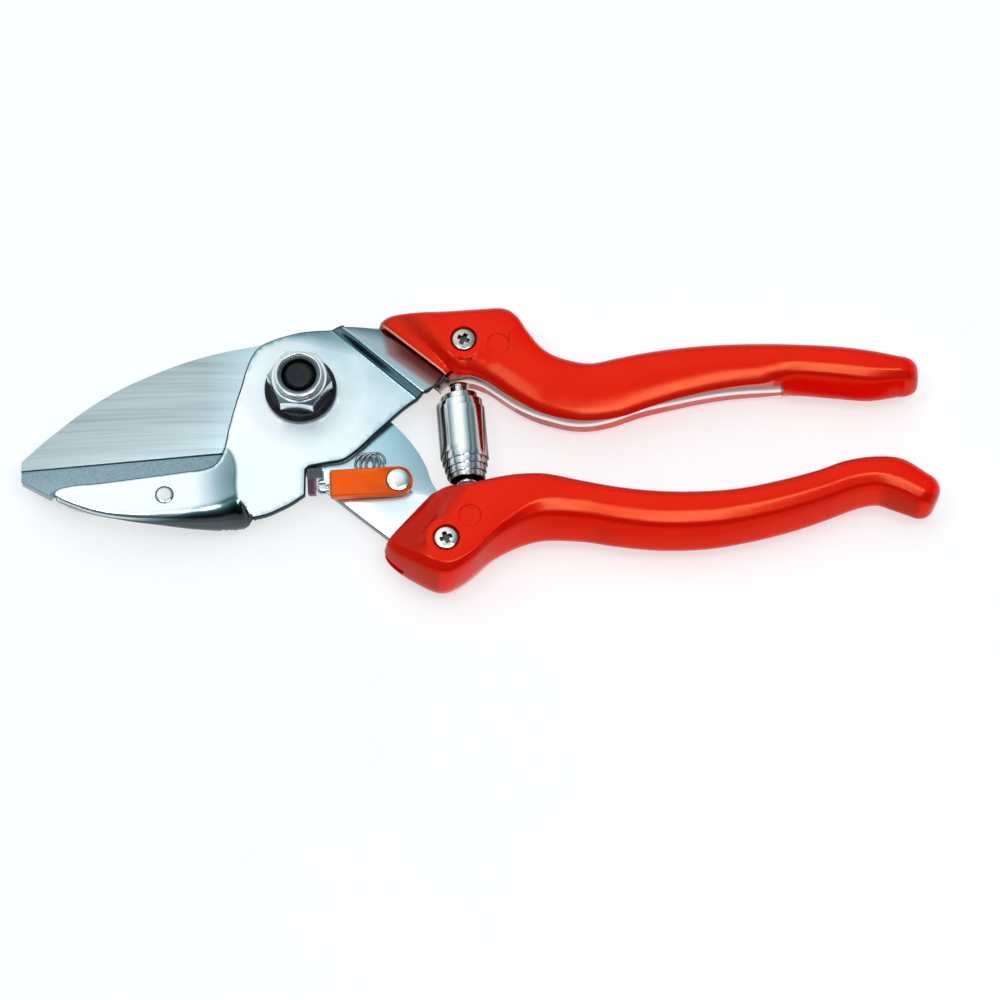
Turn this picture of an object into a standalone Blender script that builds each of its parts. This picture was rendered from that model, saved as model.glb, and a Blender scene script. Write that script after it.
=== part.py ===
"""Anvil pruning shears, closed and latched.

The tool lies flat. X runs along it, with the blade towards -X and the handles towards +X, and Z is up.
The origin is on the pivot axis, in the plane that the bolt head and the grips rest on.
Lengths in the tables below are millimetres, and MM turns them into metres.
"""

import math

import bmesh
import bpy
from mathutils import Matrix, Vector

MM = 0.001

# ---------------------------------------------------------------- driving dimensions (mm)
GAP = 0.25                 # clearance between pieces that touch
SHEET = 1.9                # thickness of the pressed frame
MID_PLANE = 7.9            # height of the middle of the blade
BLADE = (6.4, 9.4)         # lower and upper face of this layer, and so on for the layers below
PLATE = (9.7, 11.6)
CHEEKS = (2.7, 13.1)
CHANNEL = (2.2, 13.6)
CORE = (3.9, 11.9)
ANVIL = (4.9, 10.9)
LEVER = (9.65, 11.45)
COVER = (11.7, 14.3)
GRIP_HEIGHT = 16.0
BACK_WASHER = (5.3, 6.1)
CUP_WASHER = (11.85, 13.6)
NUT = (13.8, 21.4)

BOLT_RADIUS = 4.0
BUSH_RADIUS = 5.5
HEX_ACROSS_FLATS = 13.0
HEX_TURN = 3.0             # degrees that the nut has stopped at
WASHER_RADIUS = 8.45
BOLT_POINT_RADIUS = 3.05
BOLT_TOP = 20.9
NYLON_RADIUS = 5.1
GRIP_SCREW_RADIUS = 1.5
GRIP_SCREW_HEAD = 2.8
GRIP_SCREW_SEAT = 14.6     # height that the head is sunk to
GRIP_NUT_ACROSS_FLATS = 5.5
GRIP_NUT = (0.2, 1.7)
TANG_RIVET_RADIUS = 2.0
RIVET_RISE = 1.05          # how far the tang rivets' heads stand out of the core
LATCH_RIVET_RADIUS = 1.5
LATCH_HEAD_RADIUS = 2.5

PIVOT = (0.0, 0.0)
UPPER_SCREW = (37.6, 11.0)
LOWER_SCREW = (33.8, -37.7)
TANG_RIVETS = {"tang_rivet_front": (45.0, -29.3), "tang_rivet_rear": (56.0, -28.0)}
JAW_RIVET = (-30.5, -26.4)
LATCH_PIVOT = (22.8, -23.0)
LATCH_ANGLE = 183.5        # direction of the lever from its rivet, in degrees
LATCH_SPRING = (15.9, -17.6)
SPRING_TOP = (36.5, 1.65)
SPRING_BOTTOM = (38.4, -20.9)
SEAT_RADIUS = 2.3

ROUND_STEPS = 24           # sides of a round piece
SMALL_STEPS = 16
OUTLINE_STEPS = 3          # straight steps between two knots of a smooth outline
CORNER = "corner"          # marks a knot where an outline turns sharply
THROUGH = (-1.0, 18.0)     # a drill from below the tool to above the grips
TAKE = "DIFFERENCE"
JOIN = "UNION"

# ---------------------------------------------------------------- outlines (mm)
BLADE_OUTLINE = [
    (-63.7, -19.7, CORNER), (-63.7, -17.8, CORNER), (-56.7, -11.2), (-45.3, -2.2), (-33.9, 3.7),
    (-22.5, 8.1), (-11.0, 10.8), (-3.0, 13.2), (6.0, 12.2), (12.6, 7.0), (15.2, 0.0), (18.2, -4.6),
    (21.6, -7.8), (25.5, -12.2), (28.9, -17.8), (30.6, -22.4), (34.0, -26.4), (40.0, -27.0),
    (48.0, -26.0), (56.0, -25.2), (60.6, -27.6), (57.0, -30.8), (47.0, -32.4), (39.5, -38.0),
    (34.6, -41.6),
    (28.0, -41.2, CORNER), (8.6, -25.7), (1.5, -19.6), (-5.0, -15.2), (-12.0, -13.2),
    (-16.2, -15.0, CORNER),
]
ANVIL_OUTLINE = [
    (-63.6, -20.1, CORNER), (-17.7, -15.7, CORNER), (-17.7, -29.6, CORNER), (-27.0, -29.8),
    (-36.0, -28.8), (-45.0, -26.6), (-52.0, -23.9), (-57.1, -23.5, CORNER), (-57.1, -25.9, CORNER),
    (-63.6, -22.4, CORNER),
]
JAW_OUTLINE = [
    (-56.7, -26.6), (-55.6, -24.9), (-53.5, -24.2), (-45.3, -23.2), (-33.9, -21.6), (-22.5, -19.8),
    (-18.6, -18.2), (-17.2, -14.6, CORNER), (-15.2, -16.4), (-14.2, -20.0), (-13.9, -24.6),
    (-12.6, -28.5), (-10.4, -31.6, CORNER), (-15.6, -32.5), (-24.0, -33.1), (-33.0, -32.7),
    (-42.0, -31.7), (-50.0, -29.6), (-55.4, -27.6),
]
JAW_POCKET = [
    (-60.0, -20.0, CORNER), (-60.0, -25.7, CORNER), (-55.0, -25.7), (-50.0, -27.2), (-42.0, -29.6),
    (-33.0, -30.8), (-24.0, -31.2), (-15.6, -30.6), (-5.0, -29.4, CORNER), (-5.0, 0.0, CORNER),
    (-40.0, 0.0, CORNER),
]
PLATE_OUTLINE = [
    (-10.6, 10.2), (-8.4, 11.6), (-4.2, 12.9), (0.3, 13.8), (5.0, 14.3), (11.4, 14.4, CORNER),
    (29.6, -1.1, CORNER), (26.6, -2.6), (18.6, -9.6), (12.0, -16.0), (10.2, -17.2), (6.5, -18.0),
    (2.2, -18.8, CORNER), (1.5, -19.5, CORNER), (1.5, -26.2, CORNER), (-1.9, -28.3), (-6.5, -30.7),
    (-10.6, -31.1, CORNER), (-16.9, -31.1, CORNER), (-16.9, -12.5), (-16.2, -8.0), (-14.0, -0.3),
    (-12.7, 5.1),
]
CHANNEL_OUTLINE = [
    (10.4, 14.0, CORNER), (18.2, 14.1), (30.0, 15.6), (42.0, 16.4), (47.0, 13.8), (52.0, 8.6),
    (58.0, 4.6), (66.0, 2.6), (78.0, 5.2), (90.0, 7.4), (104.0, 8.4), (113.4, 8.0, CORNER),
    (111.6, 1.2, CORNER), (98.0, 0.2), (87.0, -1.8), (78.0, -3.8), (71.0, -6.0), (64.5, -6.9),
    (57.4, -5.5), (50.6, -2.8), (45.0, 0.9), (41.4, 3.2), (38.2, 4.0), (35.0, 3.1), (31.2, 0.0),
    (28.0, -2.2, CORNER),
]
CHANNEL_POCKET = [
    (12.4, 30.0, CORNER), (12.4, 14.6, CORNER), (30.6, -0.4, CORNER), (38.2, 5.9), (42.4, 4.8),
    (46.2, 2.4), (51.4, -1.1), (58.0, -3.7), (64.5, -5.0), (70.4, -4.2), (77.6, -1.9),
    (86.6, 0.1), (98.0, 2.1), (120.0, 3.4, CORNER), (120.0, 30.0, CORNER),
]
CHANNEL_CLEARANCE = [
    (0.0, 20.0, CORNER), (12.0, 20.0, CORNER), (33.4, 1.9, CORNER), (33.4, -10.0, CORNER),
    (0.0, -10.0, CORNER),
]
UPPER_GRIP_POCKET = [
    (10.0, -12.0, CORNER), (10.0, 14.6, CORNER), (18.4, 14.4), (30.0, 15.9), (42.0, 16.7),
    (47.2, 14.2), (52.2, 9.0), (58.0, 5.0), (66.0, 3.0), (78.0, 5.6), (90.0, 7.8), (104.0, 8.8),
    (113.8, 8.4, CORNER), (111.9, -12.0, CORNER),
]
CORE_OUTLINE = [
    (24.8, -39.8, CORNER), (31.0, -28.8, CORNER), (38.0, -25.0), (48.0, -23.6), (56.0, -23.4),
    (66.0, -25.2), (78.0, -27.2), (92.0, -27.4), (105.0, -26.2), (118.0, -23.2, CORNER),
    (118.0, -28.2, CORNER), (105.0, -31.6), (92.0, -33.6), (78.0, -33.6), (66.0, -32.4),
    (57.0, -32.0), (47.0, -34.8), (39.6, -40.6), (34.4, -44.4), (30.0, -43.6),
]
CORE_POCKET = [
    (10.0, -20.0, CORNER), (10.0, -39.0, CORNER), (27.6, -41.8), (34.2, -42.4), (40.0, -38.6),
    (47.4, -33.2), (57.0, -31.6), (70.0, -31.0, CORNER), (70.0, -10.0, CORNER),
]
LOWER_GRIP_POCKET = [
    (10.0, -28.4, CORNER), (10.0, -46.0, CORNER), (24.0, -40.4), (29.8, -44.2), (34.6, -44.9),
    (40.0, -41.2), (47.2, -35.3), (57.0, -32.5), (66.0, -32.9), (78.0, -34.1), (92.0, -34.1),
    (105.0, -32.1), (118.5, -28.6, CORNER), (118.5, -22.7, CORNER), (105.0, -25.7), (92.0, -26.9),
    (78.0, -26.7), (66.0, -24.7), (56.0, -22.9), (48.0, -23.1), (38.0, -24.5), (31.0, -28.2),
]

TANG_SLOT = [
    (10.0, -22.0, CORNER), (32.5, -22.4, CORNER), (40.0, -25.4, CORNER), (50.0, -25.0, CORNER),
    (50.0, -34.0, CORNER), (30.0, -43.0, CORNER), (10.0, -46.0, CORNER),
]

# Each grip is a row of ribs. A rib runs from the inner side of the handle to its outer side:
# inner x, y, outer x, y, height of the top, share of the rib that the inner slope takes.
UPPER_RIBS = [
    (34.2, 0.9, 18.1, 14.2, 13.9, 0.18), (34.6, 1.5, 18.6, 17.2, 14.4, 0.20),
    (35.4, 2.3, 21.4, 19.8, 15.3, 0.24), (36.6, 3.0, 26.5, 20.3, 15.9, 0.26),
    (38.6, 3.4, 37.5, 21.1, 16.0, 0.26), (41.6, 2.6, 45.4, 21.5, 16.0, 0.30),
    (45.4, 0.1, 50.6, 18.3, 15.9, 0.36), (50.4, -3.2, 54.4, 12.8, 15.8, 0.42),
    (57.4, -6.4, 59.4, 9.0, 15.6, 0.45), (65.0, -7.9, 66.2, 7.2, 15.4, 0.45),
    (74.0, -6.0, 73.0, 8.4, 15.2, 0.45), (87.0, -2.4, 86.0, 11.0, 15.0, 0.45),
    (103.0, 0.0, 102.8, 12.4, 14.9, 0.45), (120.0, -0.8, 120.4, 11.8, 14.8, 0.45),
    (133.0, -1.8, 133.8, 10.2, 14.6, 0.45), (139.4, -0.4, 140.4, 7.8, 13.0, 0.45),
]
LOWER_RIBS = [
    (33.6, -22.0, 19.6, -38.2, 12.9, 0.06), (34.6, -21.7, 19.8, -40.2, 14.0, 0.06),
    (36.4, -21.4, 22.2, -43.4, 15.3, 0.06), (39.4, -21.1, 27.2, -46.9, 15.9, 0.07),
    (43.4, -20.4, 32.8, -49.0, 16.0, 0.08), (47.4, -19.6, 38.8, -46.6, 16.0, 0.09),
    (51.6, -19.1, 45.4, -39.9, 16.0, 0.10), (57.6, -19.3, 54.6, -36.0, 15.8, 0.14),
    (66.0, -21.5, 64.4, -36.0, 15.5, 0.22), (79.0, -23.7, 78.2, -38.0, 15.2, 0.30),
    (95.0, -23.7, 96.6, -37.4, 15.0, 0.34), (110.0, -21.7, 112.8, -33.5, 14.9, 0.36),
    (122.0, -17.7, 125.4, -28.5, 14.8, 0.38), (132.0, -15.0, 132.0, -27.0, 14.7, 0.40),
    (140.2, -16.9, 135.6, -28.2, 14.5, 0.42), (145.4, -21.8, 139.2, -30.2, 14.0, 0.42),
    (146.4, -26.4, 142.8, -30.6, 12.4, 0.42),
]


# ---------------------------------------------------------------- set-up
def empty_scene():
    """Remove what the start-up file holds."""
    for leftover in list(bpy.data.objects):
        bpy.data.objects.remove(leftover, do_unlink=True)


def new_collection(name):
    """Make a collection in the scene."""
    collection = bpy.data.collections.new(name)
    bpy.context.scene.collection.children.link(collection)
    return collection


def new_material(name, colour, roughness, metallic):
    """Make a plain Principled material."""
    material = bpy.data.materials.new(name)
    material.use_nodes = True
    shader = material.node_tree.nodes["Principled BSDF"]
    shader.inputs["Base Color"].default_value = (*colour, 1.0)
    shader.inputs["Roughness"].default_value = roughness
    shader.inputs["Metallic"].default_value = metallic
    return material


def into(collection, thing):
    """Keep an object in one collection only."""
    for other in list(thing.users_collection):
        other.objects.unlink(thing)
    collection.objects.link(thing)


def finish(thing, name, material=None):
    """Name an object. One with a material is a piece, and one without is a cutter or a guide."""
    thing.name = name
    thing.data.name = name
    if material is None:
        into(CUTTERS, thing)
        thing.hide_render = True
        thing.display_type = "WIRE"
    else:
        into(PIECES, thing)
        thing.data.materials.clear()
        thing.data.materials.append(material)
    return thing


def smooth(thing, degrees=30):
    """Shade an object smooth, and keep its true edges sharp."""
    thing.data.shade_smooth()
    thing.data.set_sharp_from_angle(angle=math.radians(degrees))


# ---------------------------------------------------------------- shapes
def extruded(name, outline, heights, material=None):
    """A flat piece between two heights. Its outline is smooth, except at its corners."""
    low, high = heights
    curve = bpy.data.curves.new(name, "CURVE")
    curve.dimensions = "2D"
    curve.fill_mode = "BOTH"
    curve.extrude = (high - low) / 2 * MM
    curve.resolution_u = OUTLINE_STEPS
    spline = curve.splines.new("BEZIER")
    spline.bezier_points.add(len(outline) - 1)
    spline.use_cyclic_u = True
    for knot, place in zip(spline.bezier_points, outline):
        knot.co = (place[0] * MM, place[1] * MM, 0)
        handles = "VECTOR" if CORNER in place else "AUTO"
        knot.handle_left_type = handles
        knot.handle_right_type = handles
    drawn = bpy.data.objects.new(name + "_outline", curve)
    drawn.location.z = (low + high) / 2 * MM
    bpy.context.scene.collection.objects.link(drawn)
    return meshed(drawn, name, material)


def meshed(drawn, name, material=None):
    """Turn a curve or a turned profile into a closed mesh object, smooth where it is round."""
    bpy.context.view_layer.update()
    evaluated = drawn.evaluated_get(bpy.context.evaluated_depsgraph_get())
    mesh = bpy.data.meshes.new_from_object(evaluated)
    bm = bmesh.new()
    bm.from_mesh(mesh)
    bmesh.ops.remove_doubles(bm, verts=bm.verts, dist=0.01 * MM)
    bmesh.ops.recalc_face_normals(bm, faces=bm.faces)
    bm.to_mesh(mesh)
    bm.free()
    solid = bpy.data.objects.new(name, mesh)
    solid.matrix_world = drawn.matrix_world.copy()
    bpy.data.objects.remove(drawn, do_unlink=True)
    bpy.context.scene.collection.objects.link(solid)
    smooth(solid)
    return finish(solid, name, material)


def turned(name, profile, place, material=None, steps=ROUND_STEPS, closed=False):
    """A piece turned about a vertical axis. The profile (radius, height) runs down its outer side."""
    mesh = bpy.data.meshes.new(name)
    points = [(radius * MM, 0, height * MM) for radius, height in profile]
    edges = [(i, i + 1) for i in range(len(points) - 1)]
    if closed:
        edges.append((len(points) - 1, 0))
    mesh.from_pydata(points, edges, [])
    profile_object = bpy.data.objects.new(name + "_profile", mesh)
    profile_object.location = (place[0] * MM, place[1] * MM, 0)
    bpy.context.scene.collection.objects.link(profile_object)
    screw = profile_object.modifiers.new("turn", "SCREW")
    screw.steps = steps
    screw.render_steps = steps
    screw.use_merge_vertices = True
    screw.merge_threshold = 0.00001
    return meshed(profile_object, name, material)


def hexagon(name, across_flats, heights, turn=0.0, place=PIVOT, material=None):
    """A six-sided prism."""
    low, high = heights
    mesh = bpy.data.meshes.new(name)
    bm = bmesh.new()
    radius = across_flats / math.sqrt(3) * MM
    depth = (high - low) * MM
    bmesh.ops.create_cone(bm, cap_ends=True, segments=6, radius1=radius, radius2=radius, depth=depth)
    bmesh.ops.rotate(bm, verts=bm.verts, matrix=Matrix.Rotation(math.radians(90 + turn), 3, "Z"))
    bm.to_mesh(mesh)
    bm.free()
    thing = bpy.data.objects.new(name, mesh)
    thing.location = (place[0] * MM, place[1] * MM, (low + high) / 2 * MM)
    bpy.context.scene.collection.objects.link(thing)
    return finish(thing, name, material)


def cylinder(name, radius, heights, place, steps=SMALL_STEPS, material=None):
    """A plain upright cylinder, mostly used as a drill."""
    low, high = heights
    return turned(name, [(0, high), (radius, high), (radius, low), (0, low)], place, material, steps)


def wire(name, points, radius, material):
    """A wire through a row of points."""
    curve = bpy.data.curves.new(name, "CURVE")
    curve.dimensions = "3D"
    curve.bevel_depth = radius * MM
    curve.bevel_resolution = 2
    curve.use_fill_caps = True
    spline = curve.splines.new("POLY")
    spline.points.add(len(points) - 1)
    for point, place in zip(spline.points, points):
        point.co = (*(Vector(place) * MM), 1)
    drawn = bpy.data.objects.new(name + "_path", curve)
    bpy.context.scene.collection.objects.link(drawn)
    return meshed(drawn, name, material)


def cut(thing, *others, how=TAKE):
    """Add one Boolean modifier for each other object."""
    for other in others:
        boolean = thing.modifiers.new(other.name, "BOOLEAN")
        boolean.operation = how
        boolean.object = other
        boolean.solver = "EXACT"
    return thing


def bevelled(thing, width, segments=2, degrees=40):
    """Round the sharp edges of an object."""
    bevel = thing.modifiers.new("rounding", "BEVEL")
    bevel.width = width * MM
    bevel.segments = segments
    bevel.limit_method = "ANGLE"
    bevel.angle_limit = math.radians(degrees)
    return thing


def grip_section(rib):
    """The closed section of a grip at one rib, from its inner side over the top and back below."""
    inner_x, inner_y, outer_x, outer_y, top, slope = rib
    rise = top - GRIP_HEIGHT / 2
    # (share of the way across, share of the rise): both corners, the slope, the flat and the far corner
    upper_half = [
        (0.00, 0.00), (0.00, 0.50), (slope * 0.35, 0.84), (slope, 1.00),
        (0.70 + 0.12 * (1 - slope), 1.00), (0.97, 0.88), (1.00, 0.45),
    ]
    lower_half = [(share, -height) for share, height in reversed(upper_half[1:])]
    section = []
    for share, height in upper_half + [(1.00, 0.00)] + lower_half:
        x = inner_x + (outer_x - inner_x) * share
        y = inner_y + (outer_y - inner_y) * share
        section.append((x, y, GRIP_HEIGHT / 2 + rise * height))
    return section


def grip(name, ribs, material):
    """A soft handle: a loft through its ribs with both ends closed, then smoothed."""
    bm = bmesh.new()
    rings = []
    for rib in ribs:
        ring = [bm.verts.new(Vector(point) * MM) for point in grip_section(rib)]
        rings.append(ring)
    count = len(rings[0])
    for first, second in zip(rings, rings[1:]):
        for i in range(count):
            after = (i + 1) % count
            bm.faces.new((first[i], first[after], second[after], second[i]))
    bm.faces.new(list(reversed(rings[0])))
    bm.faces.new(rings[-1])
    bmesh.ops.recalc_face_normals(bm, faces=bm.faces)
    mesh = bpy.data.meshes.new(name)
    bm.to_mesh(mesh)
    bm.free()
    thing = bpy.data.objects.new(name, mesh)
    bpy.context.scene.collection.objects.link(thing)
    smoothing = thing.modifiers.new("smoothing", "SUBSURF")
    smoothing.levels = 1
    smoothing.render_levels = 1
    return finish(thing, name, material)


# ---------------------------------------------------------------- sub-parts: the anvil side
def make_frame():
    """The pressed sheet: flat plate, folded jaw and handle channel in one piece."""
    plate = extruded("anvil_frame", PLATE_OUTLINE, PLATE, CHROMED)
    jaw = bevelled(extruded("jaw_form", JAW_OUTLINE, CHEEKS), 1.6, degrees=60)
    jaw_pocket = extruded("jaw_pocket", JAW_POCKET, (CHEEKS[0] + SHEET, CHEEKS[1] - SHEET))
    cut(jaw, jaw_pocket)
    channel = extruded("channel_form", CHANNEL_OUTLINE, CHANNEL)
    pocket = extruded("channel_pocket", CHANNEL_POCKET, (CHANNEL[0] + SHEET, CHANNEL[1] - SHEET))
    clearance = extruded("channel_clearance", CHANNEL_CLEARANCE, (0, PLATE[0] - 0.05))
    cut(channel, pocket, clearance)
    cut(plate, jaw, channel, how=JOIN)
    cut(plate, cylinder("pivot_drill", BOLT_RADIUS + GAP, THROUGH, PIVOT, ROUND_STEPS))
    cut(plate, cylinder("jaw_drill", TANG_RIVET_RADIUS + GAP, THROUGH, JAW_RIVET))
    cut(plate, cylinder("channel_drill", GRIP_SCREW_RADIUS + GAP, THROUGH, UPPER_SCREW))
    return plate


def make_anvil():
    """The cast strip that the blade closes on."""
    anvil = extruded("anvil", ANVIL_OUTLINE, ANVIL, CAST)
    cut(anvil, cylinder("anvil_drill", TANG_RIVET_RADIUS + GAP, THROUGH, JAW_RIVET))
    return anvil


def make_rivet(name, place, radius, head, heights, head_height, material, back_share=0.8):
    """A rivet: a shank between a domed front head and a back head, which is the lower of the two."""
    low, high = heights
    dome = [
        (head * math.sin(math.radians(angle)), high + head_height * math.cos(math.radians(angle)))
        for angle in (0, 30, 60, 90)
    ]
    back = head * 0.85
    end = low - head_height * back_share
    profile = dome + [(radius, high), (radius, low), (back, low), (back, end), (0, end)]
    return turned(name, profile, place, material, SMALL_STEPS)


def make_pivot():
    """Bolt, bush, washers, lock nut and its nylon ring."""
    head_top = BACK_WASHER[0] - GAP
    bolt = hexagon("pivot_bolt", HEX_ACROSS_FLATS, (0, head_top), HEX_TURN, PIVOT, BLACKENED)
    shank = cylinder("shank", BOLT_RADIUS, (head_top - 1, NUT[1] - 2.9), PIVOT, ROUND_STEPS)
    point = cylinder("bolt_point", BOLT_POINT_RADIUS, (NUT[1] - 3.4, BOLT_TOP), PIVOT, ROUND_STEPS)
    cut(bolt, shank, point, how=JOIN)

    ring("pivot_bush", BOLT_RADIUS + GAP, BUSH_RADIUS, BLADE, BRONZE)
    ring("back_washer", BOLT_RADIUS + GAP, WASHER_RADIUS - 0.4, BACK_WASHER, BLACKENED)
    low, high = CUP_WASHER
    cup = [
        (7.2, high), (WASHER_RADIUS, low + 0.7), (WASHER_RADIUS, low),
        (BOLT_RADIUS + GAP, low), (BOLT_RADIUS + GAP, high),
    ]
    turned("pivot_washer", cup, PIVOT, BLACKENED, ROUND_STEPS, closed=True)

    low, high = NUT
    nut = hexagon("pivot_nut", HEX_ACROSS_FLATS, (low, high - 2.2), HEX_TURN, PIVOT, CHROMED)
    collar = cylinder("nut_collar", 5.75, (high - 3.0, high), PIVOT, ROUND_STEPS)
    cut(nut, collar, how=JOIN)
    cut(nut, cylinder("nut_bore", BOLT_RADIUS + GAP, (low - 1, high - 2.6), PIVOT, ROUND_STEPS))
    cut(nut, cylinder("nut_seat", NYLON_RADIUS, (high - 2.7, high + 1), PIVOT, ROUND_STEPS))
    nylon_heights = (high - 2.3, high - 0.3)
    ring("nut_insert", BOLT_POINT_RADIUS + GAP, NYLON_RADIUS - GAP, nylon_heights, NYLON)


def ring(name, inner, outer, heights, material):
    """A flat ring on the pivot axis."""
    low, high = heights
    profile = [(outer, high), (outer, low), (inner, low), (inner, high)]
    return turned(name, profile, PIVOT, material, ROUND_STEPS, closed=True)


# ---------------------------------------------------------------- sub-parts: the blade side
def make_blade():
    """The blade and its tang, with the bores for the bush, the rivets and the lower grip's screw."""
    blade = extruded("blade", BLADE_OUTLINE, BLADE, GROUND)
    cut(blade, cylinder("blade_bore", BUSH_RADIUS + GAP, THROUGH, PIVOT, ROUND_STEPS))
    for name, place in TANG_RIVETS.items():
        cut(blade, cylinder(name + "_hole", TANG_RIVET_RADIUS + GAP, THROUGH, place))
    cut(blade, cylinder("tang_screw_hole", GRIP_SCREW_RADIUS + GAP, THROUGH, LOWER_SCREW))
    cut(blade, cylinder("tang_latch_hole", LATCH_RIVET_RADIUS + GAP, THROUGH, LATCH_PIVOT))
    return blade


def make_core():
    """The steel channel that carries the lower grip, and the rivets that hold it to the tang."""
    core = extruded("lower_handle_core", CORE_OUTLINE, CORE, CHROMED)
    slot = extruded("core_slot", CORE_POCKET, (BLADE[0] - GAP, BLADE[1] + GAP))
    cut(core, slot)
    cut(core, cylinder("core_screw_hole", GRIP_SCREW_RADIUS + GAP, THROUGH, LOWER_SCREW))
    for name, place in TANG_RIVETS.items():
        cut(core, cylinder(name + "_drill", TANG_RIVET_RADIUS + GAP, THROUGH, place))
        heights = (CORE[0] - GAP, CORE[1] + GAP)
        make_rivet(name, place, TANG_RIVET_RADIUS, 3.0, heights, 0.8, CHROMED)
    return core


# ---------------------------------------------------------------- sub-parts: grips and their screws
def make_grip(name, ribs, pockets, screw):
    """A plastic grip with the pockets for its steel, and seats for its screw and its nut.

    A pocket is a name, an outline and the two faces of the steel that goes in it.
    """
    shell = grip(name, ribs, PLASTIC)
    for pocket_name, outline, (low, high) in pockets:
        cut(shell, extruded(pocket_name, outline, (low - GAP, high + GAP)))
    cut(shell, cylinder(name + "_drill", GRIP_SCREW_RADIUS + GAP, THROUGH, screw))
    head_seat = (GRIP_SCREW_SEAT, THROUGH[1])
    cut(shell, cylinder(name + "_head_seat", GRIP_SCREW_HEAD + GAP, head_seat, screw, ROUND_STEPS))
    nut_seat = (THROUGH[0], GRIP_NUT[1] + GAP)
    cut(shell, hexagon(name + "_nut_seat", GRIP_NUT_ACROSS_FLATS + 2 * GAP, nut_seat, 0, screw))
    smooth(shell)
    return shell


def make_grip_screw(name, place):
    """A pan-head screw with a cross recess, and the nut that it is screwed into."""
    top = GRIP_HEIGHT
    under = GRIP_SCREW_SEAT + GAP
    end = GRIP_NUT[0] + 0.2
    profile = [
        (0, top), (1.6, top - 0.05), (2.4, top - 0.35), (GRIP_SCREW_HEAD, top - 0.8),
        (GRIP_SCREW_HEAD, under), (GRIP_SCREW_RADIUS, under), (GRIP_SCREW_RADIUS, end), (0, end),
    ]
    screw = turned(name, profile, place, CHROMED, SMALL_STEPS)
    for turn in (0, 90):
        arm = box(f"{name}_recess_{turn}", (3.2, 0.8, 2.0), (*place, top + 0.1), turn)
        cut(screw, arm)
    nut_name = name.replace("screw", "nut")
    nut = hexagon(nut_name, GRIP_NUT_ACROSS_FLATS, GRIP_NUT, 0, place, CHROMED)
    cut(nut, cylinder(nut_name + "_bore", GRIP_SCREW_RADIUS + 0.1, THROUGH, place))


def box(name, size, place, turn=0.0, material=None):
    """A block with its own size, place and turn about Z."""
    mesh = bpy.data.meshes.new(name)
    bm = bmesh.new()
    bmesh.ops.create_cube(bm, size=1.0)
    bmesh.ops.scale(bm, verts=bm.verts, vec=Vector(size) * MM)
    bmesh.ops.rotate(bm, verts=bm.verts, matrix=Matrix.Rotation(math.radians(turn), 3, "Z"))
    bm.to_mesh(mesh)
    bm.free()
    thing = bpy.data.objects.new(name, mesh)
    thing.location = Vector(place) * MM
    bpy.context.scene.collection.objects.link(thing)
    return finish(thing, name, material)


# ---------------------------------------------------------------- sub-parts: the latch
def latch_point(along, across):
    """A point in the latch's own frame: along the lever from its rivet, and across it."""
    turn = math.radians(LATCH_ANGLE)
    x = LATCH_PIVOT[0] + along * math.cos(turn) - across * math.sin(turn)
    y = LATCH_PIVOT[1] + along * math.sin(turn) + across * math.cos(turn)
    return x, y


def rounded_bar(length, half_width, steps=6):
    """A bar along the lever, square at its far end and round about the rivet."""
    points = [
        (*latch_point(length, half_width), CORNER), (*latch_point(length, -half_width), CORNER)
    ]
    for step in range(steps + 1):
        angle = math.radians(-90 - 180 * step / steps)
        along = half_width * math.cos(angle)
        across = half_width * math.sin(angle)
        points.append((*latch_point(along, across), CORNER))
    return points


def make_latch():
    """Lever, cover and rivet. The lever and its cover turn together about the rivet."""
    hinge = bpy.data.objects.new("latch_hinge", None)
    hinge.location = (LATCH_PIVOT[0] * MM, LATCH_PIVOT[1] * MM, 0)
    PIECES.objects.link(hinge)
    lever = extruded("latch_lever", rounded_bar(15.9, 1.9), LEVER, CHROMED)
    tongue_points = [
        (*latch_point(14.0, 1.5), CORNER), (*latch_point(14.0, -1.5), CORNER),
        (*latch_point(18.2, -1.5), CORNER), (*latch_point(18.8, -0.9), CORNER),
        (*latch_point(18.8, 1.5), CORNER),
    ]
    tongue = extruded("tongue_form", tongue_points, LEVER)
    cut(lever, tongue, how=JOIN)
    cut(lever, cylinder("lever_hole", LATCH_RIVET_RADIUS + GAP, THROUGH, LATCH_PIVOT))

    cover = extruded("latch_cover", rounded_bar(15.7, 3.3), COVER, ORANGE)
    cut(cover, cylinder("cover_hole", LATCH_HEAD_RADIUS + 0.3, THROUGH, LATCH_PIVOT, ROUND_STEPS))

    grip_length = (BLADE[0] - GAP, COVER[0])
    make_rivet("latch_rivet", LATCH_PIVOT, LATCH_RIVET_RADIUS, LATCH_HEAD_RADIUS, grip_length, 2.3,
               CHROMED, back_share=0.5)
    for piece in (lever, cover):
        bpy.context.view_layer.update()
        piece.parent = hinge
        piece.matrix_parent_inverse = hinge.matrix_world.inverted()


def make_latch_spring():
    """Two turns of wire beside the lever."""
    radius = 2.85
    thickness = 0.3
    pitch = 0.65
    turns = 2
    first_angle = -40
    points = []
    for step in range(turns * SMALL_STEPS + 1):
        angle = math.radians(first_angle + 360 * step / SMALL_STEPS)
        height = BLADE[1] + GAP + thickness + pitch * step / SMALL_STEPS
        x = LATCH_SPRING[0] + radius * math.cos(angle)
        y = LATCH_SPRING[1] + radius * math.sin(angle)
        points.append((x, y, height))
    wire("latch_spring", points, thickness, NICKEL)


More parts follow.
